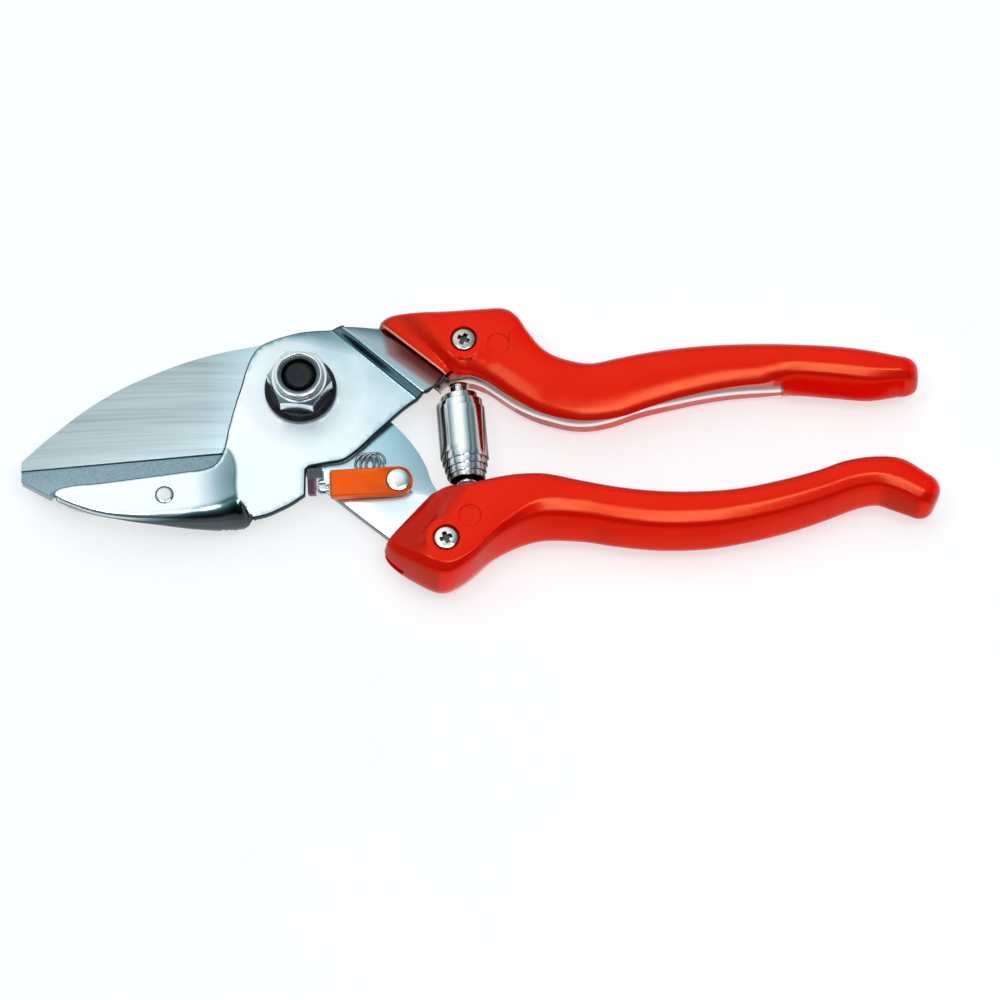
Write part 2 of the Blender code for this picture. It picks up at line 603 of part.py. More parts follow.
# ---------------------------------------------------------------- sub-parts: the buffer spring
def make_buffer_spring():
    """The double volute between the handles, and the seats that hold its ends."""
    top = Vector((*SPRING_TOP, MID_PLANE))
    bottom = Vector((*SPRING_BOTTOM, MID_PLANE))
    axis = bottom - top
    length = axis.length
    lay = axis.to_track_quat("Z", "Y")
    bore = 2.6
    # distance from the upper end, and radius there: two steps at the top, four at the bottom
    stations = [
        (0.0, 4.3), (2.2, 4.6), (2.2, 5.2), (4.0, 5.3), (4.0, 5.9), (16.0, 5.9),
        (16.0, 5.3), (18.4, 5.2), (18.4, 4.8), (20.2, 4.6), (20.2, 4.2), (length, 4.0),
    ]
    profile = [(radius, station) for station, radius in reversed(stations)]
    profile += [(bore, 0.0), (bore, length)]
    spring = turned("buffer_spring", profile, (0, 0), NICKEL, ROUND_STEPS, closed=True)
    place_along(spring, top, lay)

    peg = [
        (0, 5.0), (1.8, 5.0), (2.2, 4.4), (2.2, -GAP), (SEAT_RADIUS, -GAP), (SEAT_RADIUS, -1.0),
        (0, -1.0),
    ]
    upper = turned("upper_spring_seat", peg, (0, 0), CHROMED, SMALL_STEPS)
    place_along(upper, top, lay)
    lower = turned("lower_spring_seat", peg, (0, 0), CHROMED, SMALL_STEPS)
    place_along(lower, bottom, (-axis).to_track_quat("Z", "Y"))
    recess = cylinder("spring_recess", 4.6, (-1.4, 6.0), (0, 0), ROUND_STEPS)
    place_along(recess, bottom, (-axis).to_track_quat("Z", "Y"))
    cut(bpy.data.objects["lower_grip"], recess)


def place_along(thing, start, lay):
    """Stand a turned piece on a point, with its axis along a direction."""
    thing.rotation_mode = "QUATERNION"
    thing.rotation_quaternion = lay
    thing.location = start * MM


# ---------------------------------------------------------------- build
empty_scene()
PIECES = new_collection("pruning_shears")
CUTTERS = new_collection("cutters")
CHROMED = new_material("chromed_steel", (0.80, 0.84, 0.86), 0.12, 1.0)
GROUND = new_material("ground_steel", (0.55, 0.62, 0.64), 0.35, 1.0)
CAST = new_material("cast_alloy", (0.25, 0.32, 0.35), 0.60, 1.0)
BLACKENED = new_material("blackened_steel", (0.02, 0.022, 0.025), 0.40, 0.6)
BRONZE = new_material("bronze", (0.55, 0.36, 0.16), 0.35, 1.0)
NYLON = new_material("dark_nylon", (0.05, 0.055, 0.06), 0.50, 0.0)
NICKEL = new_material("nickelled_strip", (0.72, 0.70, 0.66), 0.12, 1.0)
PLASTIC = new_material("grip_plastic", (0.72, 0.04, 0.01), 0.20, 0.0)
ORANGE = new_material("latch_plastic", (0.85, 0.12, 0.01), 0.35, 0.0)

make_frame()
make_anvil()
make_rivet("anvil_rivet", JAW_RIVET, TANG_RIVET_RADIUS, 2.05, (CHEEKS[0], CHEEKS[1]), 0.3, CHROMED)
make_pivot()
make_blade()
make_core()
rivet_room = (CORE[0] - RIVET_RISE, CORE[1] + RIVET_RISE)
make_grip("upper_grip", UPPER_RIBS, [("upper_pocket", UPPER_GRIP_POCKET, CHANNEL)], UPPER_SCREW)
lower_pockets = [("lower_pocket", LOWER_GRIP_POCKET, rivet_room), ("tang_slot", TANG_SLOT, BLADE)]
make_grip("lower_grip", LOWER_RIBS, lower_pockets, LOWER_SCREW)
make_grip_screw("upper_grip_screw", UPPER_SCREW)
make_grip_screw("lower_grip_screw", LOWER_SCREW)
make_latch()
make_latch_spring()
make_buffer_spring()
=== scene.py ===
"""Anvil pruning shears: the fine surfaces, finishes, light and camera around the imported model.

The tool lies flat, with its blade towards -X, its handles towards +X and its nut up.
Lengths in the tables and the shape functions are millimetres, and MM turns them into metres.
"""

import math

import bmesh
import bpy
import numpy as np
from mathutils import Matrix, Vector
from mathutils.geometry import delaunay_2d_cdt, interpolate_bezier


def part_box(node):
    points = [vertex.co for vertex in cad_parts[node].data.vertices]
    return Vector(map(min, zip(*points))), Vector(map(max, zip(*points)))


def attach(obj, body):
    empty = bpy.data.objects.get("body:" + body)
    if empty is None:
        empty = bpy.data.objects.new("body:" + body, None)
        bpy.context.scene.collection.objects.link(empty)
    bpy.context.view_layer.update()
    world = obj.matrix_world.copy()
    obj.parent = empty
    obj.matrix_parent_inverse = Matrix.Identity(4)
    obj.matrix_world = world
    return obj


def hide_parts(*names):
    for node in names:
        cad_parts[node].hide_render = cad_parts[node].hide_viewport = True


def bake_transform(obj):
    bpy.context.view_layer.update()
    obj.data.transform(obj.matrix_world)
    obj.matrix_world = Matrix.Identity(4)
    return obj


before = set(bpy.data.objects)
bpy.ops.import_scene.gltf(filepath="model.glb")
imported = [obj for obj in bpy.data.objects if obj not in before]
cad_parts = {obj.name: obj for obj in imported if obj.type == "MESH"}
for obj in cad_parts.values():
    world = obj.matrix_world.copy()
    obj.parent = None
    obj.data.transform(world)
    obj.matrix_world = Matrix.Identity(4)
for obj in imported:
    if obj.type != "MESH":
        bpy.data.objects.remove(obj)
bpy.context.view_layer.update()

MM = 0.001
CORNER = "corner"          # marks a knot where an outline turns sharply
SCENE = bpy.context.scene


def heights(node):
    """Lowest and highest point of a CAD node, in mm."""
    low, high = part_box(node)
    return low.z / MM, high.z / MM


def middle(node):
    """Middle of a CAD node seen from above, in mm."""
    low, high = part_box(node)
    return (low.x + high.x) / 2 / MM, (low.y + high.y) / 2 / MM


# ---------------------------------------------------------------- dimensions (mm)
BLADE_LOW, BLADE_HIGH = heights("blade")
ANVIL_LOW, ANVIL_HIGH = heights("anvil")
NUT_LOW, NUT_HIGH = heights("pivot_nut")
WASHER_LOW, WASHER_HIGH = heights("pivot_washer")
LEVER_LOW, LEVER_HIGH = heights("latch_lever")
COVER_LOW, COVER_HIGH = heights("latch_cover")
CHANNEL_LOW, CHANNEL_HIGH = heights("anvil_frame")
GRIP_HIGH = heights("upper_grip_screw")[1]
PAINTED_HIGHLIGHT_STEPS = 4              # steps of the upper grip's front edge that get a painted highlight
BACK_TUCK = 1.0            # how far the back lip of a grip stands in behind its front lip
CHEEK_HIGH = heights("anvil_rivet")[1] - 0.3
CHEEK_LOW = 2.7
PLATE_HIGH = WASHER_LOW - 0.25
SHEET = 1.9                # thickness of the frame's plate, and where it is folded
FOLDED_SHEET = 1.25
SHEET_RIM = 0.36           # rounding of the sheet's cut edges
FOLD_RADIUS = 1.4          # how the sheet turns in below the jaw, and below the handle's web
CURL_RADIUS = 4.4
PATH_STEP = 0.6            # distance between the points of the frame's edges
UPPER_SCREW = middle("upper_grip_screw")
LOWER_SCREW = middle("lower_grip_screw")
JAW_RIVET = middle("anvil_rivet")
LATCH_PIVOT = middle("latch_rivet")
LATCH_SPRING = middle("latch_spring")
LATCH_ANGLE = 183.5
MID_PLANE = 7.9
SPRING_TOP = (36.5, 1.65)
SPRING_BOTTOM = (38.4, -20.9)
ORIGIN = (0.0, 0.0)
BOLT_BORE = 4.4
HEX_ACROSS_FLATS = 13.0
HEX_TURN = -5.0
NYLON_RADIUS = 5.1
GRID = 0.42                # spacing of the frame's finest points
# Lines over the frame, each by one of its points and the direction across it.
JOGGLE = (8.8, 12.9, 0.654, 0.756)
GRIP_FRONT = (17.8, 15.2, 0.607, 0.794)

# ---------------------------------------------------------------- set
FLOOR_DROP = 0.3           # the floor is this far below the tool, so that the two never meet
CAMERA_TILT = 20.5         # degrees from straight above
CAMERA_AIM = (46.0, -27.1)
VIEW_WIDTH = 228.3         # what the view spans where the camera aims
LENS, SENSOR = 135.0, 36.0

# ---------------------------------------------------------------- outlines (mm)
BLADE_OUTLINE = [
    (-63.9, -19.7, CORNER), (-63.9, -17.0, CORNER), (-56.7, -10.1), (-45.3, -1.1), (-33.9, 4.9),
    (-22.5, 9.2), (-11.0, 11.8), (-3.0, 13.3), (6.0, 12.2), (12.6, 7.0), (15.2, 0.0), (18.2, -4.6),
    (21.6, -7.8), (25.5, -12.2), (28.9, -17.8), (30.6, -22.4), (34.0, -26.4), (40.0, -27.0),
    (48.0, -26.0), (56.0, -25.2), (60.6, -27.6), (57.0, -30.8), (47.0, -32.4), (39.5, -38.0),
    (34.6, -41.6),
    (28.0, -41.2, CORNER), (8.6, -25.7), (1.5, -19.6), (-5.0, -15.2), (-12.0, -13.2),
    (-16.2, -15.0, CORNER),
]
ANVIL_OUTLINE = [
    (-63.6, -20.1, CORNER), (-17.7, -15.7, CORNER), (-17.7, -29.6, CORNER), (-27.0, -29.8),
    (-36.0, -28.8), (-45.0, -26.6), (-52.0, -24.2), (-56.0, -25.0), (-57.1, -25.9, CORNER),
    (-63.6, -22.4, CORNER),
]
# The frame's front sheet, in four runs: far edge, web of the handle, near edge and fold of the jaw.
FAR_EDGE = [
    (-55.2, -27.4, CORNER), (-55.95, -26.5), (-55.3, -25.1), (-53.4, -24.3), (-45.3, -23.3),
    (-33.9, -21.7), (-25.0, -20.4), (-21.3, -19.7), (-19.4, -18.6), (-18.0, -16.4), (-17.1, -12.5),
    (-16.4, -8.8), (-15.2, -3.9), (-13.8, 1.0), (-12.7, 5.8), (-11.5, 9.0), (-9.8, 11.2),
    (-6.4, 13.0), (-3.1, 14.1), (0.3, 14.9), (5.0, 15.3), (11.4, 15.4), (18.2, 15.1), (30.0, 15.2),
    (41.0, 15.2), (47.0, 12.8),
    (52.0, 7.8), (58.0, 3.8), (66.0, 2.0), (78.0, 4.6), (90.0, 6.8), (104.0, 7.8),
    (112.9, 7.4, CORNER),
]
WEB_EDGE = [
    (111.6, 1.8, CORNER), (98.0, 0.8), (87.0, -1.3), (78.0, -3.5), (71.0, -6.0), (64.5, -6.9),
    (57.4, -5.5), (50.6, -2.8), (45.0, 0.9), (41.4, 3.2), (38.2, 4.0), (35.0, 3.1), (31.2, 0.2),
]
NEAR_EDGE = [
    (31.2, 0.2), (28.8, -1.2), (26.0, -2.9), (18.6, -9.6), (12.0, -16.0), (10.2, -17.2),
    (6.5, -18.0), (2.4, -18.8, CORNER), (1.5, -19.6, CORNER), (1.5, -25.8, CORNER), (-1.9, -28.2),
    (-4.0, -29.3), (-6.5, -30.5), (-8.8, -31.2), (-11.0, -31.6, CORNER),
]
JAW_EDGE = [
    (-11.0, -31.6, CORNER), (-13.4, -32.1), (-15.6, -32.6), (-17.9, -33.0), (-22.5, -33.2),
    (-27.0, -33.1), (-31.6, -32.8), (-36.2, -32.5), (-40.8, -31.9), (-45.3, -31.1), (-49.9, -29.7),
    (-53.4, -28.3), (-55.2, -27.4, CORNER),
]
# Crease where the raised jaw meets the flat plate.
BULGE_EDGE = [
    (-17.6, -13.0), (-16.1, -14.4), (-15.0, -16.1), (-14.3, -18.5), (-14.0, -24.6), (-13.4, -27.1),
    (-12.0, -29.5), (-10.4, -31.9),
]
TANG_SLOT = [
    (10.0, -22.0, CORNER), (32.5, -22.4, CORNER), (40.0, -25.4, CORNER), (50.0, -25.0, CORNER),
    (50.0, -34.0, CORNER), (30.0, -43.0, CORNER), (10.0, -46.0, CORNER),
]

# Each grip is a row of ribs. A rib runs from the far side of the grip to its near side:
# far x, y, near x, y, height of the top, share of the rib that slopes down to its near side.
UPPER_RIBS = [
    (17.8, 15.7, 34.6, 2.0, 14.3, 0.16), (18.2, 17.0, 35.2, 2.4, 14.5, 0.20),
    (20.6, 18.4, 36.0, 2.8, 14.8, 0.26), (26.2, 18.9, 37.6, 3.0, 16.05, 0.34),
    (33.0, 19.3, 39.4, 2.9, 16.0, 0.36), (41.0, 19.9, 41.4, 2.15, 16.0, 0.38),
    (46.8, 20.1, 43.7, 0.9, 15.95, 0.42), (50.0, 18.2, 46.8, -1.4, 15.9, 0.46),
    (52.6, 14.2, 50.6, -3.9, 15.85, 0.54), (55.8, 10.2, 55.1, -6.4, 15.75, 0.61),
    (60.0, 7.8, 59.7, -7.9, 15.6, 0.66), (66.6, 6.5, 66.2, -8.8, 15.4, 0.67),
    (73.0, 7.8, 73.6, -8.0, 15.3, 0.65), (80.0, 9.3, 80.6, -5.6, 15.1, 0.60),
    (88.0, 10.5, 88.0, -3.2, 15.0, 0.60), (96.2, 11.2, 96.2, -1.2, 15.0, 0.60),
    (105.4, 11.5, 105.4, 0.1, 14.9, 0.58), (114.5, 11.4, 114.5, 0.2, 14.85, 0.58),
    (124.0, 10.9, 124.0, -0.6, 14.8, 0.58), (131.5, 10.0, 131.5, -1.15, 14.6, 0.56),
    (138.3, 8.7, 138.3, -0.1, 14.2, 0.54),
]
LOWER_RIBS = [
    (31.6, -24.6, 19.6, -38.0, 12.6, 0.16), (32.6, -24.2, 19.6, -39.8, 13.1, 0.17),
    (34.6, -23.5, 21.8, -42.4, 14.2, 0.18), (39.2, -23.4, 26.8, -45.8, 16.0, 0.19),
    (43.0, -22.4, 32.8, -48.2, 16.0, 0.20), (47.4, -21.4, 38.2, -45.6, 16.0, 0.22),
    (51.6, -20.9, 44.8, -40.0, 16.0, 0.36), (57.0, -20.9, 54.0, -36.0, 15.8, 0.57),
    (65.0, -22.5, 64.0, -35.8, 15.5, 0.65), (73.4, -24.0, 73.0, -37.1, 15.3, 0.64),
    (82.5, -24.9, 82.5, -38.0, 15.2, 0.62), (92.0, -24.9, 93.0, -37.7, 15.0, 0.62),
    (101.0, -24.1, 103.0, -36.0, 15.0, 0.61), (110.6, -22.0, 113.2, -33.3, 14.9, 0.60),
    (118.6, -19.7, 121.6, -30.3, 14.8, 0.59), (125.0, -17.4, 127.4, -28.0, 14.8, 0.58),
    (132.0, -16.3, 132.2, -27.0, 14.7, 0.56), (138.4, -16.9, 136.0, -28.2, 14.5, 0.54),
    (144.4, -20.6, 139.8, -29.6, 14.0, 0.54),
]
# How a grip's near side rises, as shares of the slope and of the rise. The first curve leaves
# a lip over the steel web of the handle, and the second is rounded all over.
LIP_SLOPE = [
    (0.0, 0.0), (0.0, 0.30), (0.0, 0.60), (0.02, 0.66), (0.07, 0.72), (0.13, 0.77), (0.19, 0.808),
    (0.25, 0.838), (0.32, 0.865), (0.40, 0.893), (0.49, 0.922), (0.58, 0.948), (0.68, 0.970),
    (0.79, 0.988), (0.90, 0.997), (1.0, 1.0),
]
ROUND_SLOPE = [
    (0.0, 0.0), (0.0, 0.06), (0.03, 0.15), (0.08, 0.25), (0.15, 0.38), (0.23, 0.51), (0.30, 0.615),
    (0.37, 0.71), (0.43, 0.782), (0.49, 0.838), (0.54, 0.868), (0.60, 0.890), (0.71, 0.928),
    (0.82, 0.966), (0.91, 0.992), (1.0, 1.0),
]
# How its far side rises, in mm from the edge.
FAR_SLOPE = [(0.0, 0.0), (0.0, 0.28), (0.12, 0.48), (0.35, 0.64), (0.7, 0.78), (1.2, 0.89),
             (1.8, 0.96), (2.6, 1.0)]


# ---------------------------------------------------------------- outlines and paths
def smooth_path(knots, step=0.6, closed=True):
    """Points along a smooth outline, about a step apart. It turns sharply only at its corners."""
    places = [Vector((knot[0], knot[1], 0.0)) for knot in knots]
    count = len(places)

    def handles(i):
        here = places[i]
        first, last = not closed and i == 0, not closed and i == count - 1
        after = here - places[i - 1] if last else places[(i + 1) % count] - here
        before = after if first else here - places[i - 1]
        if CORNER in knots[i]:
            return here - before / 3, here + after / 3
        lean = before.normalized() + after.normalized()
        reach = lean.length * 2.5614
        return here - lean * (before.length / reach), here + lean * (after.length / reach)

    points = []
    for i in range(count if closed else count - 1):
        j = (i + 1) % count
        pieces = max(1, round((places[j] - places[i]).length / step))
        run = interpolate_bezier(places[i], handles(i)[1], handles(j)[0], places[j], pieces + 1)
        points += [(point.x, point.y) for point in run[:-1]]
    if not closed:
        points.append((places[-1].x, places[-1].y))
    return points


def moved_in(loop, distance):
    """A closed loop moved inwards."""
    area = sum(a[0] * b[1] - b[0] * a[1] for a, b in zip(loop, loop[1:] + loop[:1]))
    side = distance if area > 0 else -distance
    moved = []
    for before, here, after in zip(loop[-1:] + loop[:-1], loop, loop[1:] + loop[:1]):
        along = (Vector(after) - Vector(before)).normalized()
        moved.append((here[0] - along.y * side, here[1] + along.x * side))
    return moved


def direction(path, i):
    """Which way an open path runs at one of its points."""
    before, after = path[max(i - 1, 0)], path[min(i + 1, len(path) - 1)]
    return (Vector(after) - Vector(before)).normalized()


def moved_right(path, distance):
    """An open path moved to its right, by a distance that is a function of x."""
    moved = []
    for i, (x, y) in enumerate(path):
        along, gap = direction(path, i), float(distance(x))
        moved.append((x + along.y * gap, y - along.x * gap))
    return moved


def circle(place, radius, steps):
    """A closed loop round a place."""
    turns = [2 * math.pi * step / steps for step in range(steps)]
    return [(place[0] + radius * math.cos(t), place[1] + radius * math.sin(t)) for t in turns]


def aside(place, degrees, along, across):
    """A point that is given in a frame turned about a place."""
    cos, sin = math.cos(math.radians(degrees)), math.sin(math.radians(degrees))
    return place[0] + along * cos - across * sin, place[1] + along * sin + across * cos


def inside(points, loop):
    """Which points lie inside a closed loop."""
    x, y = points[:, 0], points[:, 1]
    found = np.zeros(len(points), bool)
    ax, ay = loop[-1]
    for bx, by in loop:
        if ay != by:
            crossing = (ax - bx) * (y - by) / (ay - by) + bx
            found ^= ((by > y) != (ay > y)) & (x < crossing)
        ax, ay = bx, by
    return found


def distance_to(points, path):
    """Distance from each point to an open path."""
    best = np.full(len(points), 1e6)
    for start, end in zip(path, path[1:]):
        start = np.array(start[:2])
        along = np.array(end[:2]) - start
        share = np.clip((points - start) @ along / (along @ along), 0, 1)
        gap = points - start - share[:, None] * along
        best = np.minimum(best, np.hypot(gap[:, 0], gap[:, 1]))
    return best


def eased(value):
    """Smooth step from 0 to 1."""
    value = np.clip(value, 0, 1)
    return value * value * (3 - 2 * value)


# ---------------------------------------------------------------- objects
def new_object(name, bm, material, sharp=None):
    """Turn a bmesh in mm into an object in metres. Edges sharper than an angle stay crisp."""
    bmesh.ops.recalc_face_normals(bm, faces=bm.faces)
    bmesh.ops.scale(bm, verts=bm.verts, vec=(MM, MM, MM))
    mesh = bpy.data.meshes.new(name)
    bm.to_mesh(mesh)
    bm.free()
    mesh.shade_smooth()
    if sharp:
        mesh.set_sharp_from_angle(angle=math.radians(sharp))
    thing = bpy.data.objects.new(name, mesh)
    SCENE.collection.objects.link(thing)
    if material:
        mesh.materials.append(material)
    return thing


def applied(thing, sharp=None):
    """Replace an object's mesh by what its modifiers make of it."""
    bpy.context.view_layer.update()
    evaluated = thing.evaluated_get(bpy.context.evaluated_depsgraph_get())
    mesh = bpy.data.meshes.new_from_object(evaluated)
    thing.modifiers.clear()
    thing.data = mesh
    if sharp:
        mesh.shade_smooth()
        mesh.set_sharp_from_angle(angle=math.radians(sharp))
    return thing


def cut(thing, *others, how="DIFFERENCE", sharp=None):
    """Cut other objects out of one, or join them to it, and remove them."""
    for other in others:
        boolean = thing.modifiers.new("cut", "BOOLEAN")
        boolean.operation = how
        boolean.object = other
        boolean.solver = "EXACT"
        boolean.material_mode = "TRANSFER" if other.data.materials else "INDEX"
    applied(thing, sharp)
    for other in others:
        bpy.data.objects.remove(other, do_unlink=True)
    return thing


def bevelled(thing, width, segments=3, degrees=40, sharp=50):
    """Round the sharp edges of an object."""
    bevel = thing.modifiers.new("rounding", "BEVEL")
    bevel.width = width * MM
    bevel.segments = segments
    bevel.limit_method = "ANGLE"
    bevel.angle_limit = math.radians(degrees)
    bevel.use_clamp_overlap = True
    return applied(thing, sharp)


def skin(bm, rows, closed=True, ring=False):
    """Faces between rows of vertices. Each row may be closed, and the rows may run in a ring."""
    made = []
    for first, second in zip(rows, rows[1:] + (rows[:1] if ring else [])):
        wide = max(len(first), len(second))
        for i in range(wide if closed else wide - 1):
            j = (i + 1) % wide
            corners = (first[i % len(first)], first[j % len(first)],
                       second[j % len(second)], second[i % len(second)])
            made.append(bm.faces.new(list(dict.fromkeys(corners))))
    return made


def loft(name, rows, material=None, sharp=30, ring=False, capped=True):
    """An object whose skin runs through closed rows of points."""
    bm = bmesh.new()
    rows = [[bm.verts.new(point) for point in row] for row in rows]
    skin(bm, rows, True, ring)
    if capped:
        bm.faces.new(rows[0][::-1])
        bm.faces.new(rows[-1])
    return new_object(name, bm, material, sharp)


def prism(name, loop, low, high, material=None):
    """An upright solid on a closed loop."""
    bm = bmesh.new()
    rows = [[bm.verts.new((x, y, z)) for x, y in loop] for z in (low, high)]
    bm.faces.new(rows[1])
    bm.faces.new(rows[0][::-1])
    skin(bm, rows)
    return new_object(name, bm, material, 30)


def rounded_profile(corners, radius, steps=4):
    """A profile with its corners rounded. A corner is (radius, height, rounding)."""
    profile = []
    for i, corner in enumerate(corners):
        here = Vector(corner[:2])
        size = corner[2] if len(corner) > 2 else radius
        if i in (0, len(corners) - 1) or size == 0:
            profile.append(tuple(here))
            continue
        before = (Vector(corners[i - 1][:2]) - here)
        after = (Vector(corners[i + 1][:2]) - here)
        size = min(size, before.length * 0.49, after.length * 0.49)
        start, end = here + before.normalized() * size, here + after.normalized() * size
        for step in range(steps + 1):
            share = step / steps
            point = start * (1 - share) ** 2 + here * 2 * share * (1 - share) + end * share ** 2
            profile.append(tuple(point))
    return profile


def turned(name, corners, place=ORIGIN, material=None, rounding=0.1, steps=64):
    """A solid turned about an upright axis. Its corners (radius, height) run from top to bottom,
    and it is a ring if they end where they started."""
    profile = rounded_profile(corners, rounding)
    ring = corners[0][:2] == corners[-1][:2]
    rows = [
        [(x, y, height) for x, y in circle(place, radius, steps)] if radius else [(*place, height)]
        for radius, height in (profile[:-1] if ring else profile)
    ]
    return loft(name, rows, material, 30, ring, False)


def cylinder(place, radius, low, high):
    """A plain cylinder to cut with."""
    corners = [(0, high), (radius, high), (radius, low), (0, low)]
    return turned("cutter", corners, place, None, 0, 48)


def hex_ring(name, flats, low, high, bore, chamfers, turn, place, material):
    """A hexagon with a bore and conical chamfers at its top and bottom, as on a nut."""
    apothem, steps, lead_in = flats / 2, 96, 0.35
    face = apothem * 0.97
    bm = bmesh.new()
    rows = []
    for step in range(steps):
        angle = 2 * math.pi * step / steps
        lean = (angle + math.pi / 6) % (math.pi / 3) - math.pi / 6
        edge = apothem / math.cos(lean)
        fall = (edge - face) * math.tan(math.radians(30))
        section = [(face, high), (edge, high - fall * chamfers[0]),
                   (edge, low + fall * chamfers[1]), (face, low)]
        if bore:
            section = [(bore + lead_in, high), *section, (bore + lead_in, low),
                       (bore, low + lead_in), (bore, high - lead_in)]
        around = math.degrees(angle) + turn + 90
        rows.append([bm.verts.new((*aside(place, around, reach, 0), z)) for reach, z in section])
    skin(bm, rows, bore > 0, True)
    if not bore:
        bm.faces.new([row[0] for row in rows])
        bm.faces.new([row[-1] for row in rows][::-1])
    return new_object(name, bm, material, 22)


def tube(name, points, radius, material, sides):
    """A round wire through a row of points."""
    side, rows = None, []
    for i, here in enumerate(points):
        along = direction(points, i)
        side = along.orthogonal() if side is None else side - along * side.dot(along)
        side.normalize()
        other = along.cross(side)
        rows.append([Vector(here) + side * x + other * y for x, y in circle(ORIGIN, radius, sides)])
    return loft(name, rows, material, 50)


# ---------------------------------------------------------------- pressed sheet
def flat_patch(loop, holes, spacing, dense):
    """Triangles that fill a loop with holes: points, triangles, and each loop point's vertex.

    Every point of the fine grid stays where dense says so, and one in nine elsewhere.
    """
    border = np.array(loop)
    low, high = border.min(axis=0), border.max(axis=0)
    columns = np.arange(low[0], high[0], spacing)
    rows = np.arange(low[1], high[1], spacing * 0.866)
    grid, keep = [], []
    for j, y in enumerate(rows):
        shift = spacing / 2 if j % 2 else 0
        for i, x in enumerate(columns):
            grid.append((x + shift, y))
            keep.append(i % 3 == 0 and j % 3 == 0)
    grid, keep = np.array(grid), np.array(keep)
    closed = list(loop) + [loop[0]]
    wanted = inside(grid, loop) & (keep | dense(grid)) & (distance_to(grid, closed) > spacing * 0.6)
    for hole in holes:
        ring = list(hole) + [hole[0]]
        wanted &= ~inside(grid, hole) & (distance_to(grid, ring) > spacing * 0.6)
    points = [Vector(p) for p in loop]
    edges = [(i, (i + 1) % len(loop)) for i in range(len(loop))]
    for hole in holes:
        start = len(points)
        points += [Vector(p) for p in hole]
        edges += [(start + i, start + (i + 1) % len(hole)) for i in range(len(hole))]
    points += [Vector(p) for p in grid[wanted]]
    found, _, triangles, origins, _, _ = delaunay_2d_cdt(points, edges, [], 0, 1e-5)
    places = np.array([tuple(p) for p in found])
    corners = np.array([tuple(t) for t in triangles])
    centres = places[corners].mean(axis=1)
    inner = inside(centres, loop)
    for hole in holes:
        inner &= ~inside(centres, hole)
    vertex_of = {}
    for index, sources in enumerate(origins):
        for source in sources:
            vertex_of[source] = index
    return places, corners[inner], [vertex_of[i] for i in range(len(loop))]


def thickened(bm, thickness, rim):
    """Give a sheet its thickness below, with rounded rims."""
    bm.normal_update()
    outer, faces = list(bm.verts), list(bm.faces)
    borders = [edge for edge in bm.edges if edge.is_boundary]
    normals = {vertex: vertex.normal.copy() for vertex in outer}
    outwards = {}
    for edge in borders:
        a, b = edge.verts
        along = (b.co - a.co).normalized()
        away = (a.co + b.co) / 2 - edge.link_faces[0].calc_center_median()
        away = (away - along * away.dot(along)).normalized()
        for vertex in (a, b):
            outwards[vertex] = outwards.get(vertex, Vector()) + away
    inner = {v: bm.verts.new(v.co - normals[v] * thickness(v.co)) for v in outer}
    for face in faces:
        bm.faces.new([inner[v] for v in reversed(face.verts)])
    rims = {}
    for vertex, away in outwards.items():
        normal = normals[vertex]
        away = (away - normal * away.dot(normal)).normalized() * rim
        line = [vertex]
        for start, drop, turns in (
                (vertex, -rim, (30, 60, 90)), (inner[vertex], rim, (90, 60, 30))):
            for turn in map(math.radians, turns):
                spot = start.co + away * math.sin(turn) + normal * drop * (1 - math.cos(turn))
                line.append(bm.verts.new(spot))
        rims[vertex] = line + [inner[vertex]]
    for edge in borders:
        for face in skin(bm, [rims[vertex] for vertex in edge.verts], False):
            face.material_index = 1


def cut_short(line, share, count):
    """The first part of a row of places, with the same number of places."""
    reach = [0.0]
    for a, b in zip(line, line[1:]):
        reach.append(reach[-1] + (Vector(b) - Vector(a)).length)
    stops = np.linspace(0, reach[-1] * share, count + 1)[1:] if share < 1 else reach[1:]
    table = np.array(line)
    return [tuple(np.interp(stop, reach, table[:, axis]) for axis in range(3)) for stop in stops]


def past(points, line):
    """How far points lie beyond a line."""
    return (points[:, 0] - line[0]) * line[2] + (points[:, 1] - line[1]) * line[3]


def straight(start, end, shares):
    """Places on the line between two points."""
    return [tuple(Vector(start).lerp(Vector(end), share)) for share in shares]


def quarter(edge, inward, radius, height, degrees, below=False):
    """Places on a quarter turn at an edge: out over it and down, or in below it."""
    places = []
    for turn in map(math.radians, degrees):
        reach, rise = 1 - math.sin(turn), math.cos(turn) - 1
        if below:
            reach, rise = -rise, reach
        spot = edge + inward * radius * reach
        places.append((spot.x, spot.y, height + radius * rise))
    return places


